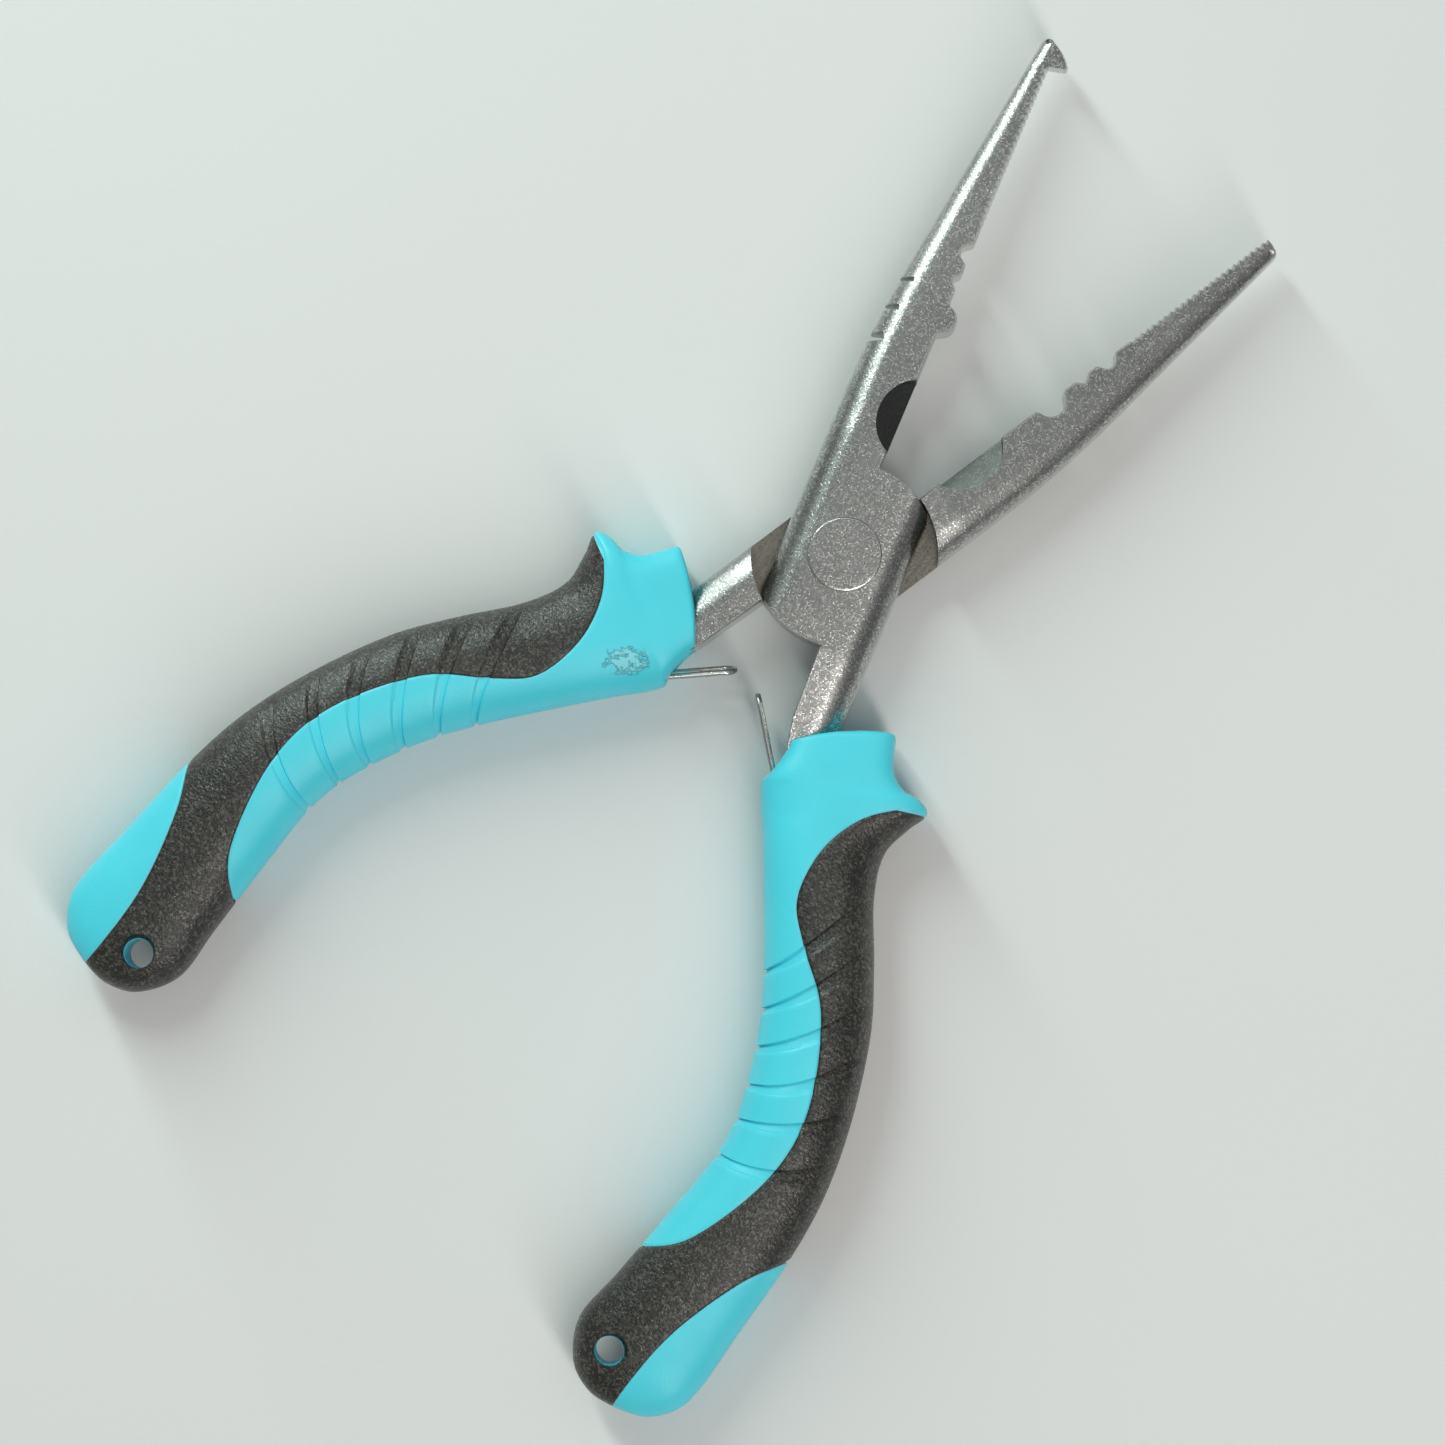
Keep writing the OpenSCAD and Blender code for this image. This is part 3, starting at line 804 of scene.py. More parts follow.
def neck_pocket():
    """The space that the steel neck takes up in the collar."""
    def place(column, row):
        y = POCKET_START - row * POCKET_STEP
        left = along(NECK_INNER, y) - PLAY
        right = along(NECK_OUTER, y) + PLAY
        half = along(SIDE_PROFILE, y) + PLAY_ABOVE
        return ((left, y, half), (right, y, half), (right, y, -half), (left, y, -half))[column % 4]

    return closed_up(draped_grid(5, 6, place))


def spring_pocket(spring, side):
    """The slot that a hairpin's legs swing in, open at the collar's end."""
    root, aim = SPRING_ROOT[side], spring_aim(side)
    tall = spring.legs + spring.wire + PLAY
    play = spring.wire + PLAY
    far_x, far_y = SLOT_REACH * math.cos(SPRING_SWING), SLOT_REACH * math.sin(SPRING_SWING)
    bm = bmesh.new()
    outline = [(SLOT_BACK, -play), (far_x, -far_y - play), (SLOT_REACH, 0), (far_x, far_y + play),
               (SLOT_BACK, play)]
    face = bm.faces.new([bm.verts.new((x, y, -tall)) for x, y in outline])
    top = bmesh.ops.extrude_face_region(bm, geom=[face])["geom"]
    raised = [item for item in top if isinstance(item, bmesh.types.BMVert)]
    bmesh.ops.translate(bm, vec=(0, 0, 2 * tall), verts=raised)
    bmesh.ops.recalc_face_normals(bm, faces=bm.faces)
    turn = Matrix.Translation((root[0], root[1], 0)) @ Matrix.Rotation(aim, 4, "Z")
    bmesh.ops.transform(bm, matrix=turn, verts=bm.verts)
    return bm


def spring_aim(side):
    """Direction of a hairpin at rest."""
    root, tip = SPRING_ROOT[side], SPRING_TIP[side]
    return math.atan2(tip[1] - root[1], tip[0] - root[0])


def hairpin(spring, side):
    """One length of wire: an eye, a leg, the round closed end, the other leg and the other eye."""
    root, tip = SPRING_ROOT[side], SPRING_TIP[side]
    leg = math.dist(root, tip) - spring.legs - spring.wire
    bm = bmesh.new()
    upright = Matrix.Rotation(math.pi / 2, 4, "Y")
    start = Matrix.Translation((0, -spring.eye, spring.legs)) @ upright
    ring = bmesh.ops.create_circle(bm, cap_ends=True, segments=WIRE_SIDES, radius=spring.wire, matrix=start)
    faces = list({face for vert in ring["verts"] for face in vert.link_faces})

    def bend(centre, axis, angle, steps):
        out = bmesh.ops.spin(bm, geom=faces, cent=centre, axis=axis, angle=angle, steps=steps)
        faces[:] = [item for item in out["geom_last"] if isinstance(item, bmesh.types.BMFace)]

    def run(step, steps):
        for _ in range(steps):
            out = bmesh.ops.extrude_face_region(bm, geom=faces)
            moved = [item for item in out["geom"] if isinstance(item, bmesh.types.BMVert)]
            bmesh.ops.translate(bm, vec=(step / steps, 0, 0), verts=moved)
            bmesh.ops.delete(bm, geom=faces, context="FACES_ONLY")
            faces[:] = [item for item in out["geom"] if isinstance(item, bmesh.types.BMFace)]

    run(leg, 12)
    bend((leg, 0, 0), (0, 1, 0), math.pi, 24)
    run(-leg, 12)
    closed_up(bm)
    for height in (1, -1):
        place = Matrix.Translation((0, -spring.eye, height * spring.legs)) @ upright
        eye = bmesh.ops.create_circle(bm, segments=WIRE_SIDES, radius=spring.wire, matrix=place)
        edges = list({edge for vert in eye["verts"] for edge in vert.link_edges})
        bmesh.ops.spin(bm, geom=eye["verts"] + edges, cent=(0, 0, height * spring.legs), axis=(0, 0, 1),
                       angle=-EYE_TURN, steps=28)
    bmesh.ops.translate(bm, vec=(0, spring.eye, 0), verts=bm.verts)
    bmesh.ops.scale(bm, vec=(1, -1, 1), verts=bm.verts)
    closed_up(bm)
    roll = spring.roll if side == "plain" else 0
    turn = (Matrix.Translation((root[0], root[1], 0)) @ Matrix.Rotation(spring_aim(side), 4, "Z")
            @ Matrix.Rotation(roll, 4, "X"))
    bmesh.ops.transform(bm, matrix=turn, verts=bm.verts)
    return bm


# ---- Putting pieces in place ----

def lay(size, hook):
    """Places a lever's own frame, in millimetres, where that lever lies, in metres."""
    turn = size.opening / 2 if hook else -size.opening / 2
    flip = Matrix.Identity(4) if hook else Matrix.Rotation(math.pi, 4, "Y")
    lift = Matrix.Translation((0, 0, size.joint / 2))
    return Matrix.Scale(MM, 4) @ lift @ Matrix.Rotation(turn, 4, "Z") @ flip


def seat(hook):
    """Where a grip sits on its tang; the plain lever's is pushed on a little differently."""
    if hook:
        return Matrix.Identity(4)
    centre = Vector((SEAT_CENTRE[0], SEAT_CENTRE[1], 0))
    shift = Matrix.Translation((SEAT_SHIFT[0], SEAT_SHIFT[1], 0))
    turn = Matrix.Rotation(SEAT_TURN, 4, "Z")
    return shift @ Matrix.Translation(centre) @ turn @ Matrix.Translation(-centre)


def raw_object(name, bm):
    """An object from a finished bmesh."""
    mesh = bpy.data.meshes.new(name)
    bm.to_mesh(mesh)
    bm.free()
    thing = bpy.data.objects.new(name, mesh)
    bpy.context.scene.collection.objects.link(thing)
    return thing


def cut(piece, shapes):
    """Cuts closed shapes out of a piece, one after another."""
    for shape in shapes:
        tool = raw_object("tool", shape)
        step = piece.modifiers.new("cut", "BOOLEAN")
        step.object = tool
        step.operation = "DIFFERENCE"
        step.solver = "EXACT"
        bpy.context.view_layer.update()
        graph = bpy.context.evaluated_depsgraph_get()
        fresh = bpy.data.meshes.new_from_object(piece.evaluated_get(graph))
        piece.modifiers.clear()
        old = piece.data
        piece.data = fresh
        bpy.data.meshes.remove(old)
        bpy.data.objects.remove(tool)
    if not piece.data.polygons:
        raise RuntimeError("Nothing is left of " + piece.name)
    return piece


def settle(piece, place, body, node, material, sharp=32, weighted=False):
    """Puts a piece in the shared frame, shades it, gives it its material, hides the imported part it stands
    for and hangs it on its body.
    """
    piece.data.transform(place)
    piece.data.name = piece.name
    piece.data.shade_smooth()
    piece.data.set_sharp_from_angle(angle=math.radians(sharp))
    piece.data.materials.clear()
    piece.data.materials.append(material)
    if weighted:
        normals = piece.modifiers.new("even shading", "WEIGHTED_NORMAL")
        normals.keep_sharp = True
        normals.weight = 60
    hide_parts(node)
    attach(piece, body)
    return piece


# ---- Materials ----

def shader_group(name, inputs, outputs):
    """An empty group of shader nodes, or the one already made under that name."""
    if name in bpy.data.node_groups:
        return bpy.data.node_groups[name], None, None
    group = bpy.data.node_groups.new(name, "ShaderNodeTree")
    for label, kind, value in inputs:
        socket = group.interface.new_socket(label, in_out="INPUT", socket_type=kind)
        if value is not None:
            socket.default_value = value
    for label, kind in outputs:
        group.interface.new_socket(label, in_out="OUTPUT", socket_type=kind)
    return group, group.nodes.new("NodeGroupInput"), group.nodes.new("NodeGroupOutput")


def math_node(tree, operation, first, second, clamped=False):
    """A Math node with each side a socket or a number."""
    node = tree.nodes.new("ShaderNodeMath")
    node.operation = operation
    node.use_clamp = clamped
    for place, value in enumerate((first, second)):
        if isinstance(value, (int, float)):
            node.inputs[place].default_value = value
        else:
            tree.links.new(value, node.inputs[place])
    return node.outputs[0]


def times(tree, first, second, clamped=False):
    """The product of two sockets or numbers."""
    return math_node(tree, "MULTIPLY", first, second, clamped)


def plus(tree, first, second, clamped=False):
    """The sum of two sockets or numbers."""
    return math_node(tree, "ADD", first, second, clamped)


def minus(tree, first, second):
    """The difference of two sockets or numbers."""
    return math_node(tree, "SUBTRACT", first, second)


def dimmed(paint, share):
    """A colour made darker."""
    return tuple(share * part for part in paint)


def ramp_node(tree, value, low, high):
    """0 to 1 as value goes from low to high."""
    node = tree.nodes.new("ShaderNodeMapRange")
    node.clamp = True
    tree.links.new(value, node.inputs["Value"])
    node.inputs["From Min"].default_value = low
    node.inputs["From Max"].default_value = high
    return node.outputs["Result"]


def mix_colour(tree, share, first, second):
    """A mix of two colours, each a socket or an RGB triple."""
    node = tree.nodes.new("ShaderNodeMix")
    node.data_type = "RGBA"
    tree.links.new(share, node.inputs["Factor"])
    for socket, value in ((node.inputs[6], first), (node.inputs[7], second)):
        if hasattr(value, "is_output"):
            tree.links.new(value, socket)
        else:
            socket.default_value = (*value, 1)
    return node.outputs[2]


def noise_node(tree, vector, scale, detail=2.0, rough=0.5):
    """A Noise texture."""
    node = tree.nodes.new("ShaderNodeTexNoise")
    tree.links.new(vector, node.inputs["Vector"])
    if isinstance(scale, (int, float)):
        node.inputs["Scale"].default_value = scale
    else:
        tree.links.new(scale, node.inputs["Scale"])
    node.inputs["Detail"].default_value = detail
    node.inputs["Roughness"].default_value = rough
    return node.outputs[0]


def grain_group():
    """Fine surface grain: a height, bright specks and slow patches."""
    group, enter, leave = shader_group(
        "Surface Grain",
        [("Vector", "NodeSocketVector", None), ("Grains per metre", "NodeSocketFloat", 2000.0),
         ("Patches per metre", "NodeSocketFloat", 60.0)],
        [("Height", "NodeSocketFloat"), ("Specks", "NodeSocketFloat"), ("Patches", "NodeSocketFloat")])
    if enter is None:
        return group
    vector, grains, patches = enter.outputs[0], enter.outputs[1], enter.outputs[2]
    fine = noise_node(group, vector, grains, 2.0, 0.6)
    cells = group.nodes.new("ShaderNodeTexVoronoi")
    group.links.new(vector, cells.inputs["Vector"])
    group.links.new(times(group, grains, 1.3), cells.inputs["Scale"])
    split = group.nodes.new("ShaderNodeSeparateColor")
    group.links.new(cells.outputs["Color"], split.inputs[0])
    specks = ramp_node(group, split.outputs[0], 0.4, 1.0)
    height = plus(group, fine, times(group, split.outputs[1], 0.15))
    group.links.new(height, leave.inputs[0])
    group.links.new(math_node(group, "POWER", specks, 1.6), leave.inputs[1])
    group.links.new(ramp_node(group, noise_node(group, vector, patches, 3.0), 0.3, 0.7), leave.inputs[2])
    return group


def rub_and_highlight_group():
    """Rubbed edges and painted highlights: where a piece's edge mark meets broken-up noise. On the levers'
    edge breaks it is wear; on the rivet's marked rim and on the cyan lip beside the colour groove it paints
    a highlight.
    """
    group, enter, leave = shader_group(
        "Rubbed Edges",
        [("Vector", "NodeSocketVector", None), ("Edge", "NodeSocketFloat", 0.0),
         ("Breaks per metre", "NodeSocketFloat", 700.0)],
        [("Rub", "NodeSocketFloat")])
    if enter is None:
        return group
    broken = noise_node(group, enter.outputs[0], enter.outputs[2], 4.0, 0.6)
    both = plus(group, enter.outputs[1], times(group, broken, 0.9))
    group.links.new(ramp_node(group, both, 0.85, 1.45), leave.inputs[0])
    return group


def place_group(tree, group, vector):
    """A group's node in a material."""
    node = tree.nodes.new("ShaderNodeGroup")
    node.node_tree = group
    tree.links.new(vector, node.inputs["Vector"])
    return node


def grain_of(tree, vector, grains, patches=60.0):
    """A material's grain: its height, specks and patches."""
    node = place_group(tree, grain_group(), vector)
    node.inputs["Grains per metre"].default_value = grains
    node.inputs["Patches per metre"].default_value = patches
    return node.outputs["Height"], node.outputs["Specks"], node.outputs["Patches"]


def rub_and_highlight_of(tree, vector, edge, breaks=700.0):
    """Where a material's edges are rubbed, and where a highlight is painted along a marked rim or lip."""
    node = place_group(tree, rub_and_highlight_group(), vector)
    node.inputs["Breaks per metre"].default_value = breaks
    tree.links.new(edge, node.inputs["Edge"])
    return node.outputs["Rub"]


def new_material(name):
    """A material with its Principled shader, object coordinates and edge mark ready."""
    material = bpy.data.materials.new(name)
    material.use_nodes = True
    tree = material.node_tree
    shader = tree.nodes["Principled BSDF"]
    coords = tree.nodes.new("ShaderNodeTexCoord").outputs["Object"]
    mark = tree.nodes.new("ShaderNodeAttribute")
    mark.attribute_name = "edge"
    return material, tree, shader, coords, mark.outputs["Fac"]


def bumped(tree, shader, height, distance):
    """Bump from a height, with its distance in millimetres."""
    node = tree.nodes.new("ShaderNodeBump")
    node.inputs["Distance"].default_value = distance * MM
    node.inputs["Strength"].default_value = 1.0
    tree.links.new(height, node.inputs["Height"])
    tree.links.new(node.outputs["Normal"], shader.inputs["Normal"])


def steel_material(name, finish, grain):
    """Bead-blasted steel: glittering grain, rubbed edges with a painted highlight ring on the rivet's marked
    rim, warm ground laps, and ground cutter hollows darkened with painted shade.
    """
    material, tree, shader, coords, edge = new_material(name)
    height, specks, patches = grain_of(tree, coords, grain)
    rub_and_highlight = rub_and_highlight_of(tree, coords, edge)
    tone = plus(tree, times(tree, specks, 0.7), times(tree, patches, 0.12), True)
    blasted = mix_colour(tree, tone, finish.steel, finish.steel_light)
    # Rubbed wear along the levers' edge breaks; on the rivet's marked rim the same lightening is a painted
    # highlight.
    rubbed_and_highlit = mix_colour(tree, times(tree, rub_and_highlight, 0.6), blasted, finish.steel_light)
    mark = tree.nodes.new("ShaderNodeAttribute")
    mark.attribute_name = "ground"
    ground = ramp_node(tree, mark.outputs["Fac"], GROUND_LAP - 0.6, GROUND_LAP - 0.4)
    cutter = ramp_node(tree, mark.outputs["Fac"], GROUND_CUTTER - 0.6, GROUND_CUTTER - 0.4)
    stretch = tree.nodes.new("ShaderNodeMapping")
    stretch.inputs["Rotation"].default_value = (0, 0, math.radians(28))
    stretch.inputs["Scale"].default_value = (2600, 160, 160)
    tree.links.new(coords, stretch.inputs["Vector"])
    strokes = noise_node(tree, stretch.outputs[0], 1.0, 3.0)
    warm = mix_colour(tree, strokes, dimmed(finish.ground, 0.5), finish.ground)
    # Painted shade: the side-cutter hollows are darkened to stand for the shade that falls in them.
    dark = mix_colour(tree, tone, dimmed(finish.cutter, 0.6), finish.cutter)
    worked = mix_colour(tree, cutter, warm, dark)
    tree.links.new(mix_colour(tree, ground, rubbed_and_highlit, worked), shader.inputs["Base Color"])
    shader.inputs["Metallic"].default_value = 1.0
    rough = minus(tree, 0.31, times(tree, specks, 0.08))
    rough = minus(tree, rough, times(tree, rub_and_highlight, 0.06))
    rough = plus(tree, rough, times(tree, cutter, 0.15))
    tree.links.new(rough, shader.inputs["Roughness"])
    height = times(tree, height, minus(tree, 1.0, times(tree, ground, 0.7)))
    height = plus(tree, height, times(tree, strokes, times(tree, ground, 0.25)))
    bumped(tree, shader, height, 0.03)
    return material


def wire_material(name, finish):
    """Bright drawn wire with faint marks along it."""
    material, tree, shader, coords, _ = new_material(name)
    height, _, patches = grain_of(tree, coords, 6500.0, 400.0)
    dark = dimmed(finish.wire, 0.55)
    tree.links.new(mix_colour(tree, times(tree, patches, 0.5), finish.wire, dark),
                   shader.inputs["Base Color"])
    shader.inputs["Metallic"].default_value = 1.0
    tree.links.new(plus(tree, 0.2, times(tree, patches, 0.16)), shader.inputs["Roughness"])
    bumped(tree, shader, height, 0.012)
    return material


def scuff_mask(tree, coords, centre, size, turn):
    """A ragged patch around one spot, 0 to 1."""
    around = tree.nodes.new("ShaderNodeMapping")
    around.vector_type = "TEXTURE"
    around.inputs["Location"].default_value = [part * MM for part in centre]
    around.inputs["Rotation"].default_value = (0, 0, turn)
    around.inputs["Scale"].default_value = [part * MM for part in size]
    tree.links.new(coords, around.inputs["Vector"])
    ball = tree.nodes.new("ShaderNodeTexGradient")
    ball.gradient_type = "SPHERICAL"
    tree.links.new(around.outputs[0], ball.inputs[0])
    ragged = noise_node(tree, coords, 900.0, 4.0, 0.7)
    inside = times(tree, ball.outputs["Fac"], 6.0, True)
    both = plus(tree, ball.outputs["Fac"], times(tree, ragged, 2.4))
    return times(tree, inside, ramp_node(tree, both, 1.5, 1.75))


def core_material(name, finish):
    """Satin moulded plastic, paler along the lip beside the colour groove as a painted highlight, duller in
    patches, scuffed beside one spring.
    """
    material, tree, shader, coords, edge = new_material(name)
    height, _, patches = grain_of(tree, coords, 3200.0, 90.0)
    rub_and_highlight = rub_and_highlight_of(tree, coords, edge, 420.0)
    scuff = scuff_mask(tree, coords, SCUFF, SCUFF_SIZE, SCUFF_TURN)
    plain = mix_colour(tree, times(tree, patches, 0.2), finish.core, finish.core_deep)
    pale = tuple(part + (1 - part) * 0.35 for part in finish.core)
    # Painted highlight: the cyan is lightened along the rounded lip beside the groove where the two colours
    # meet.
    rubbed_and_highlit = mix_colour(tree, times(tree, rub_and_highlight, 0.4), plain, pale)
    tree.links.new(mix_colour(tree, times(tree, scuff, 0.6), rubbed_and_highlit, pale), shader.inputs["Base Color"])
    rough = plus(tree, 0.36, times(tree, patches, 0.12))
    tree.links.new(plus(tree, rough, times(tree, scuff, 0.25)), shader.inputs["Roughness"])
    torn = times(tree, scuff, plus(tree, patches, 8.0))
    bumped(tree, shader, plus(tree, height, torn), 0.025)
    return material


def skin_material(name, finish):
    """Soft black rubber with the sparkling grain of a spark-eroded mould; the grain's glints are painted as
    pale specks.
    """
    material, tree, shader, coords, _ = new_material(name)
    height, specks, patches = grain_of(tree, coords, 2500.0, 70.0)
    tone = plus(tree, times(tree, specks, 0.55), times(tree, patches, 0.12), True)
    # Painted glints: the grain's specks are coloured pale to stand for the rubber's sparkle.
    tree.links.new(mix_colour(tree, tone, finish.skin, finish.skin_dust), shader.inputs["Base Color"])
    tree.links.new(minus(tree, 0.38, times(tree, specks, 0.14)), shader.inputs["Roughness"])
    shader.inputs["Specular IOR Level"].default_value = 0.6
    bumped(tree, shader, height, 0.12)
    return material


def table_material(name, finish):
    """A pale matt table top."""
    material, tree, shader, coords, _ = new_material(name)
    height, _, patches = grain_of(tree, coords, 900.0, 4.0)
    tree.links.new(mix_colour(tree, patches, finish.table, dimmed(finish.table, 0.97)),
                   shader.inputs["Base Color"])
    shader.inputs["Roughness"].default_value = 0.75
    bumped(tree, shader, height, 0.03)
    return material


# How each material is made: its function and, for steel, the grains per metre.
MAKERS = {"forged_steel": (steel_material, 3500.0), "rivet_steel": (steel_material, 3700.0),
          "spring_wire": (wire_material,), "grip_core": (core_material,), "grip_skin": (skin_material,),
          "table_top": (table_material,)}


def finish_of(context):
    """The chosen colours as plain triples."""
    group = context.scene.pliers_finishes
    return SimpleNamespace(**{key: tuple(getattr(group, key)) for key in group.__annotations__})


def material_for(context, name):
    """One of the pliers' materials, made the first time it is asked for."""
    label = "pliers_" + name
    if label in bpy.data.materials:
        return bpy.data.materials[label]
    make, *grain = MAKERS[name]
    return make(label, finish_of(context), *grain)


# ---- Operators: one for each piece or group of like pieces ----

class PLIERS_OT_levers(bpy.types.Operator):
    """Builds the two forged levers"""
    bl_idname = "pliers.levers"
    bl_label = "Levers"

    def execute(self, context):
        size = in_mm(context.scene.pliers_levers)
        half = size.joint / 2
        for side in ("hook", "plain"):
            hook = side == "hook"
            piece = raw_object("forged_lever_" + side, lever_bar(size, hook))
            pocket = disc(size.boss + size.shoulder_gap, -half - 2, size.lap_gap / 2, sides=192)
            shapes = [marked(pocket, GROUND_LAP)]
            shapes += [marked(cutter_hollow(side, face), GROUND_CUTTER) for face in (1, -1)]
            shapes.append(disc(size.rivet + RIVET_PLAY, -8, 8))
            shapes.append(disc(size.rivet_head + RIVET_PLAY, half - size.head_depth, half + 2, sides=128))
            if hook:
                shapes += [back_slot(size, y, width) for y, width in BACK_SLOTS]
            cut(piece, shapes)
            settle(piece, lay(size, hook), side + "_lever", "lever_" + side,
                   material_for(context, "forged_steel"), weighted=True)
        return {"FINISHED"}


class PLIERS_OT_rivet(bpy.types.Operator):
    """Turns the flush pivot rivet"""
    bl_idname = "pliers.rivet"
    bl_label = "Rivet"

    def execute(self, context):
        size = in_mm(context.scene.pliers_levers)
        half, head = size.joint / 2, size.rivet_head
        shoulder = half - size.head_depth
        upper = [(0, half), (head - 0.5, half), (head - 0.3, half), (head - 0.16, half - 0.008),
                 (head - 0.04, half - 0.04), (head, half - 0.09), (head, shoulder), (size.rivet, shoulder)]
        rivet = turned(bmesh.new(), mirrored(upper), 128)
        # The rim of each head is marked so that the steel paints a faint highlight ring there.
        mark = rivet.verts.layers.float.new("edge")
        for vert in rivet.verts:
            rim = math.hypot(vert.co.x, vert.co.y) > head - 0.2 and abs(vert.co.z) > half - 0.1
            vert[mark] = 0.8 if rim else 0.0
        piece = raw_object("pivot_rivet_turned", rivet)
        settle(piece, lay(size, True), "hook_lever", "pivot_rivet",
               material_for(context, "rivet_steel"), weighted=True)
        return {"FINISHED"}


class PLIERS_OT_grips(bpy.types.Operator):
    """Moulds the two-colour grips"""
    bl_idname = "pliers.grips"
    bl_label = "Grips"

    def execute(self, context):
        size = in_mm(context.scene.pliers_grips)
        lever = in_mm(context.scene.pliers_levers)
        spring = in_mm(context.scene.pliers_springs)
        form = Grip(size)
        core, skin = grip_core(form), grip_skin(form)
        for side in ("hook", "plain"):
            hook = side == "hook"
            place = seat(hook)
            body = side + "_lever"
            piece = raw_object("moulded_core_" + side, core.copy())
            cut(piece, [lanyard_cut(size.lanyard - 0.1, 0)])
            piece.data.transform(place)
            cut(piece, [neck_pocket(), spring_pocket(spring, side)])
            settle(piece, lay(lever, hook), body, "grip_core_" + side,
                   material_for(context, "grip_core"))
            piece = raw_object("moulded_skin_" + side, skin.copy())
            cut(piece, [lanyard_cut(size.lanyard, 0.45)])
            settle(piece, lay(lever, hook) @ place, body, "grip_skin_" + side,
                   material_for(context, "grip_skin"))
        core.free()
        skin.free()
        return {"FINISHED"}


class PLIERS_OT_springs(bpy.types.Operator):
    """Bends the two hairpin springs"""
    bl_idname = "pliers.springs"
    bl_label = "Springs"

    def execute(self, context):
        lever = in_mm(context.scene.pliers_levers)
        spring = in_mm(context.scene.pliers_springs)
        for side in ("hook", "plain"):
            piece = raw_object("wire_spring_" + side, hairpin(spring, side))
            settle(piece, lay(lever, side == "hook"), side + "_spring", "spring_" + side,
                   material_for(context, "spring_wire"), sharp=60)
        return {"FINISHED"}


# The camera's place, aim and roll, in millimetres and radians.
CAMERA_STAND = (31.2, -52.2, 785.4)
CAMERA_AIM = (0.8, -29.2, 5.4)
CAMERA_ROLL = math.radians(37.9)
HALF_VIEW = 102.6                    # half the width seen at the aim, in millimetres

TABLE_HALF = 2.5                     # half the table's width, in metres
SKY_COLOUR = (0.9, 0.93, 0.95, 1)
SKY_STRENGTH = 0.21

# Name, place in metres, size in metres, power in watts and tint of each light.
LIGHTS = (("key", (-0.60, 0.22, 0.42), (0.09, 0.9), 4.3, (0.84, 1.0, 0.94)),
          ("side", (0.42, -0.20, 0.68), (0.12, 0.9), 2.9, (1.0, 0.97, 0.93)),
          ("top", (-0.15, 0.55, 1.0), (0.9, 0.6), 0.6, (1.0, 1.0, 1.0)))


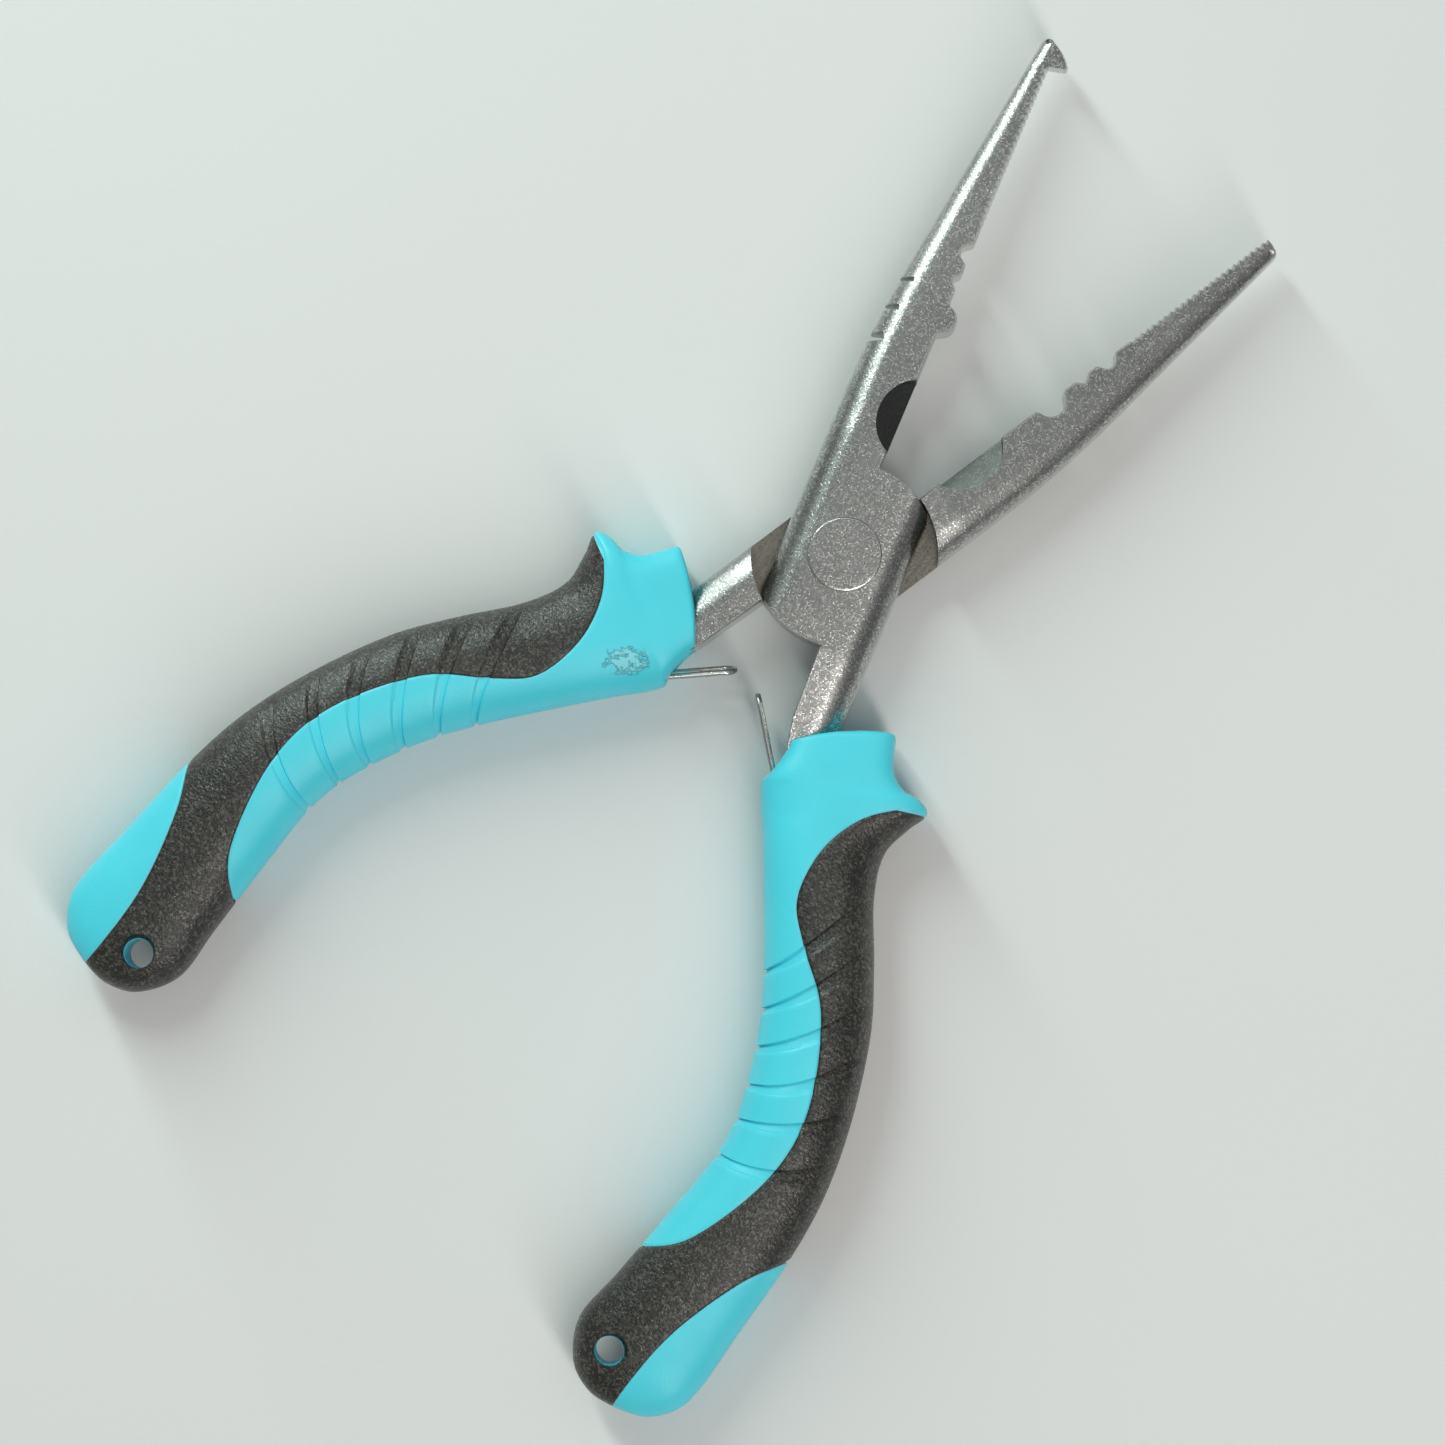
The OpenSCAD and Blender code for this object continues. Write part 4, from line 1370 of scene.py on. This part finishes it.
class PLIERS_OT_stage(bpy.types.Operator):
    """Sets the pale table, the soft lights and the camera"""
    bl_idname = "pliers.stage"
    bl_label = "Stage"

    def execute(self, context):
        scene = context.scene
        floor_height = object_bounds()[0][2]
        bm = bmesh.new()
        place = Matrix.Translation((0, 0, floor_height))
        bmesh.ops.create_grid(bm, x_segments=2, y_segments=2, size=TABLE_HALF, matrix=place)
        floor = raw_object("table", bm)
        floor.data.materials.append(material_for(context, "table_top"))
        floor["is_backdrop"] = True

        camera = bpy.data.objects.new("camera", bpy.data.cameras.new("camera"))
        scene.collection.objects.link(camera)
        stand = Vector(CAMERA_STAND) * MM
        aim = Vector(CAMERA_AIM) * MM
        view = (aim - stand).normalized()
        sky = Vector((-math.sin(CAMERA_ROLL), math.cos(CAMERA_ROLL), 0))
        right = view.cross(sky).normalized()
        up = right.cross(view).normalized()
        camera.matrix_world = Matrix((right, up, -view)).transposed().to_4x4()
        camera.location = stand
        camera.data.sensor_width = 36
        camera.data.lens = camera.data.sensor_width / 2 / (HALF_VIEW * MM / (aim - stand).length)
        camera.data.clip_end = 10
        scene.camera = camera

        for name, spot, size, power, tint in LIGHTS:
            light = bpy.data.lights.new(name, "AREA")
            light.shape = "RECTANGLE"
            light.size, light.size_y = size
            light.energy = power
            light.color = tint
            lamp = bpy.data.objects.new(name, light)
            scene.collection.objects.link(lamp)
            lamp.location = spot
            lamp.rotation_euler = (aim - Vector(spot)).to_track_quat("-Z", "Y").to_euler()
        world = bpy.data.worlds.new("studio")
        world.use_nodes = True
        background = world.node_tree.nodes["Background"]
        background.inputs["Color"].default_value = SKY_COLOUR
        background.inputs["Strength"].default_value = SKY_STRENGTH
        scene.world = world
        scene.view_settings.view_transform = "Standard"
        return {"FINISHED"}


class PLIERS_PT_panel(bpy.types.Panel):
    """Lists the pieces of the pliers"""
    bl_idname = "PLIERS_PT_panel"
    bl_label = "Fishing Pliers"
    bl_space_type = "VIEW_3D"
    bl_region_type = "UI"
    bl_category = "Pliers"

    def draw(self, context):
        for operator in OPERATORS:
            self.layout.operator(operator.bl_idname)
        for group in SETTINGS:
            box = self.layout.box()
            settings = getattr(context.scene, group)
            for key in settings.__annotations__:
                box.prop(settings, key)


OPERATORS = (PLIERS_OT_levers, PLIERS_OT_rivet, PLIERS_OT_grips, PLIERS_OT_springs, PLIERS_OT_stage)
SETTINGS = ("pliers_levers", "pliers_grips", "pliers_springs", "pliers_finishes")
CLASSES = (LeverSizes, GripSizes, SpringSizes, Finishes) + OPERATORS + (PLIERS_PT_panel,)


def register():
    """Adds the classes and the settings on the scene."""
    for cls in CLASSES:
        bpy.utils.register_class(cls)
    bpy.types.Scene.pliers_levers = PointerProperty(type=LeverSizes)
    bpy.types.Scene.pliers_grips = PointerProperty(type=GripSizes)
    bpy.types.Scene.pliers_springs = PointerProperty(type=SpringSizes)
    bpy.types.Scene.pliers_finishes = PointerProperty(type=Finishes)


def unregister():
    """Takes them away again."""
    for name in SETTINGS:
        delattr(bpy.types.Scene, name)
    for cls in reversed(CLASSES):
        bpy.utils.unregister_class(cls)


def main():
    """Builds every piece and the stage."""
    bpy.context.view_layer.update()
    register()
    bpy.ops.pliers.levers()
    bpy.ops.pliers.rivet()
    bpy.ops.pliers.grips()
    bpy.ops.pliers.springs()
    bpy.ops.pliers.stage()


if __name__ == "__main__":
    main()
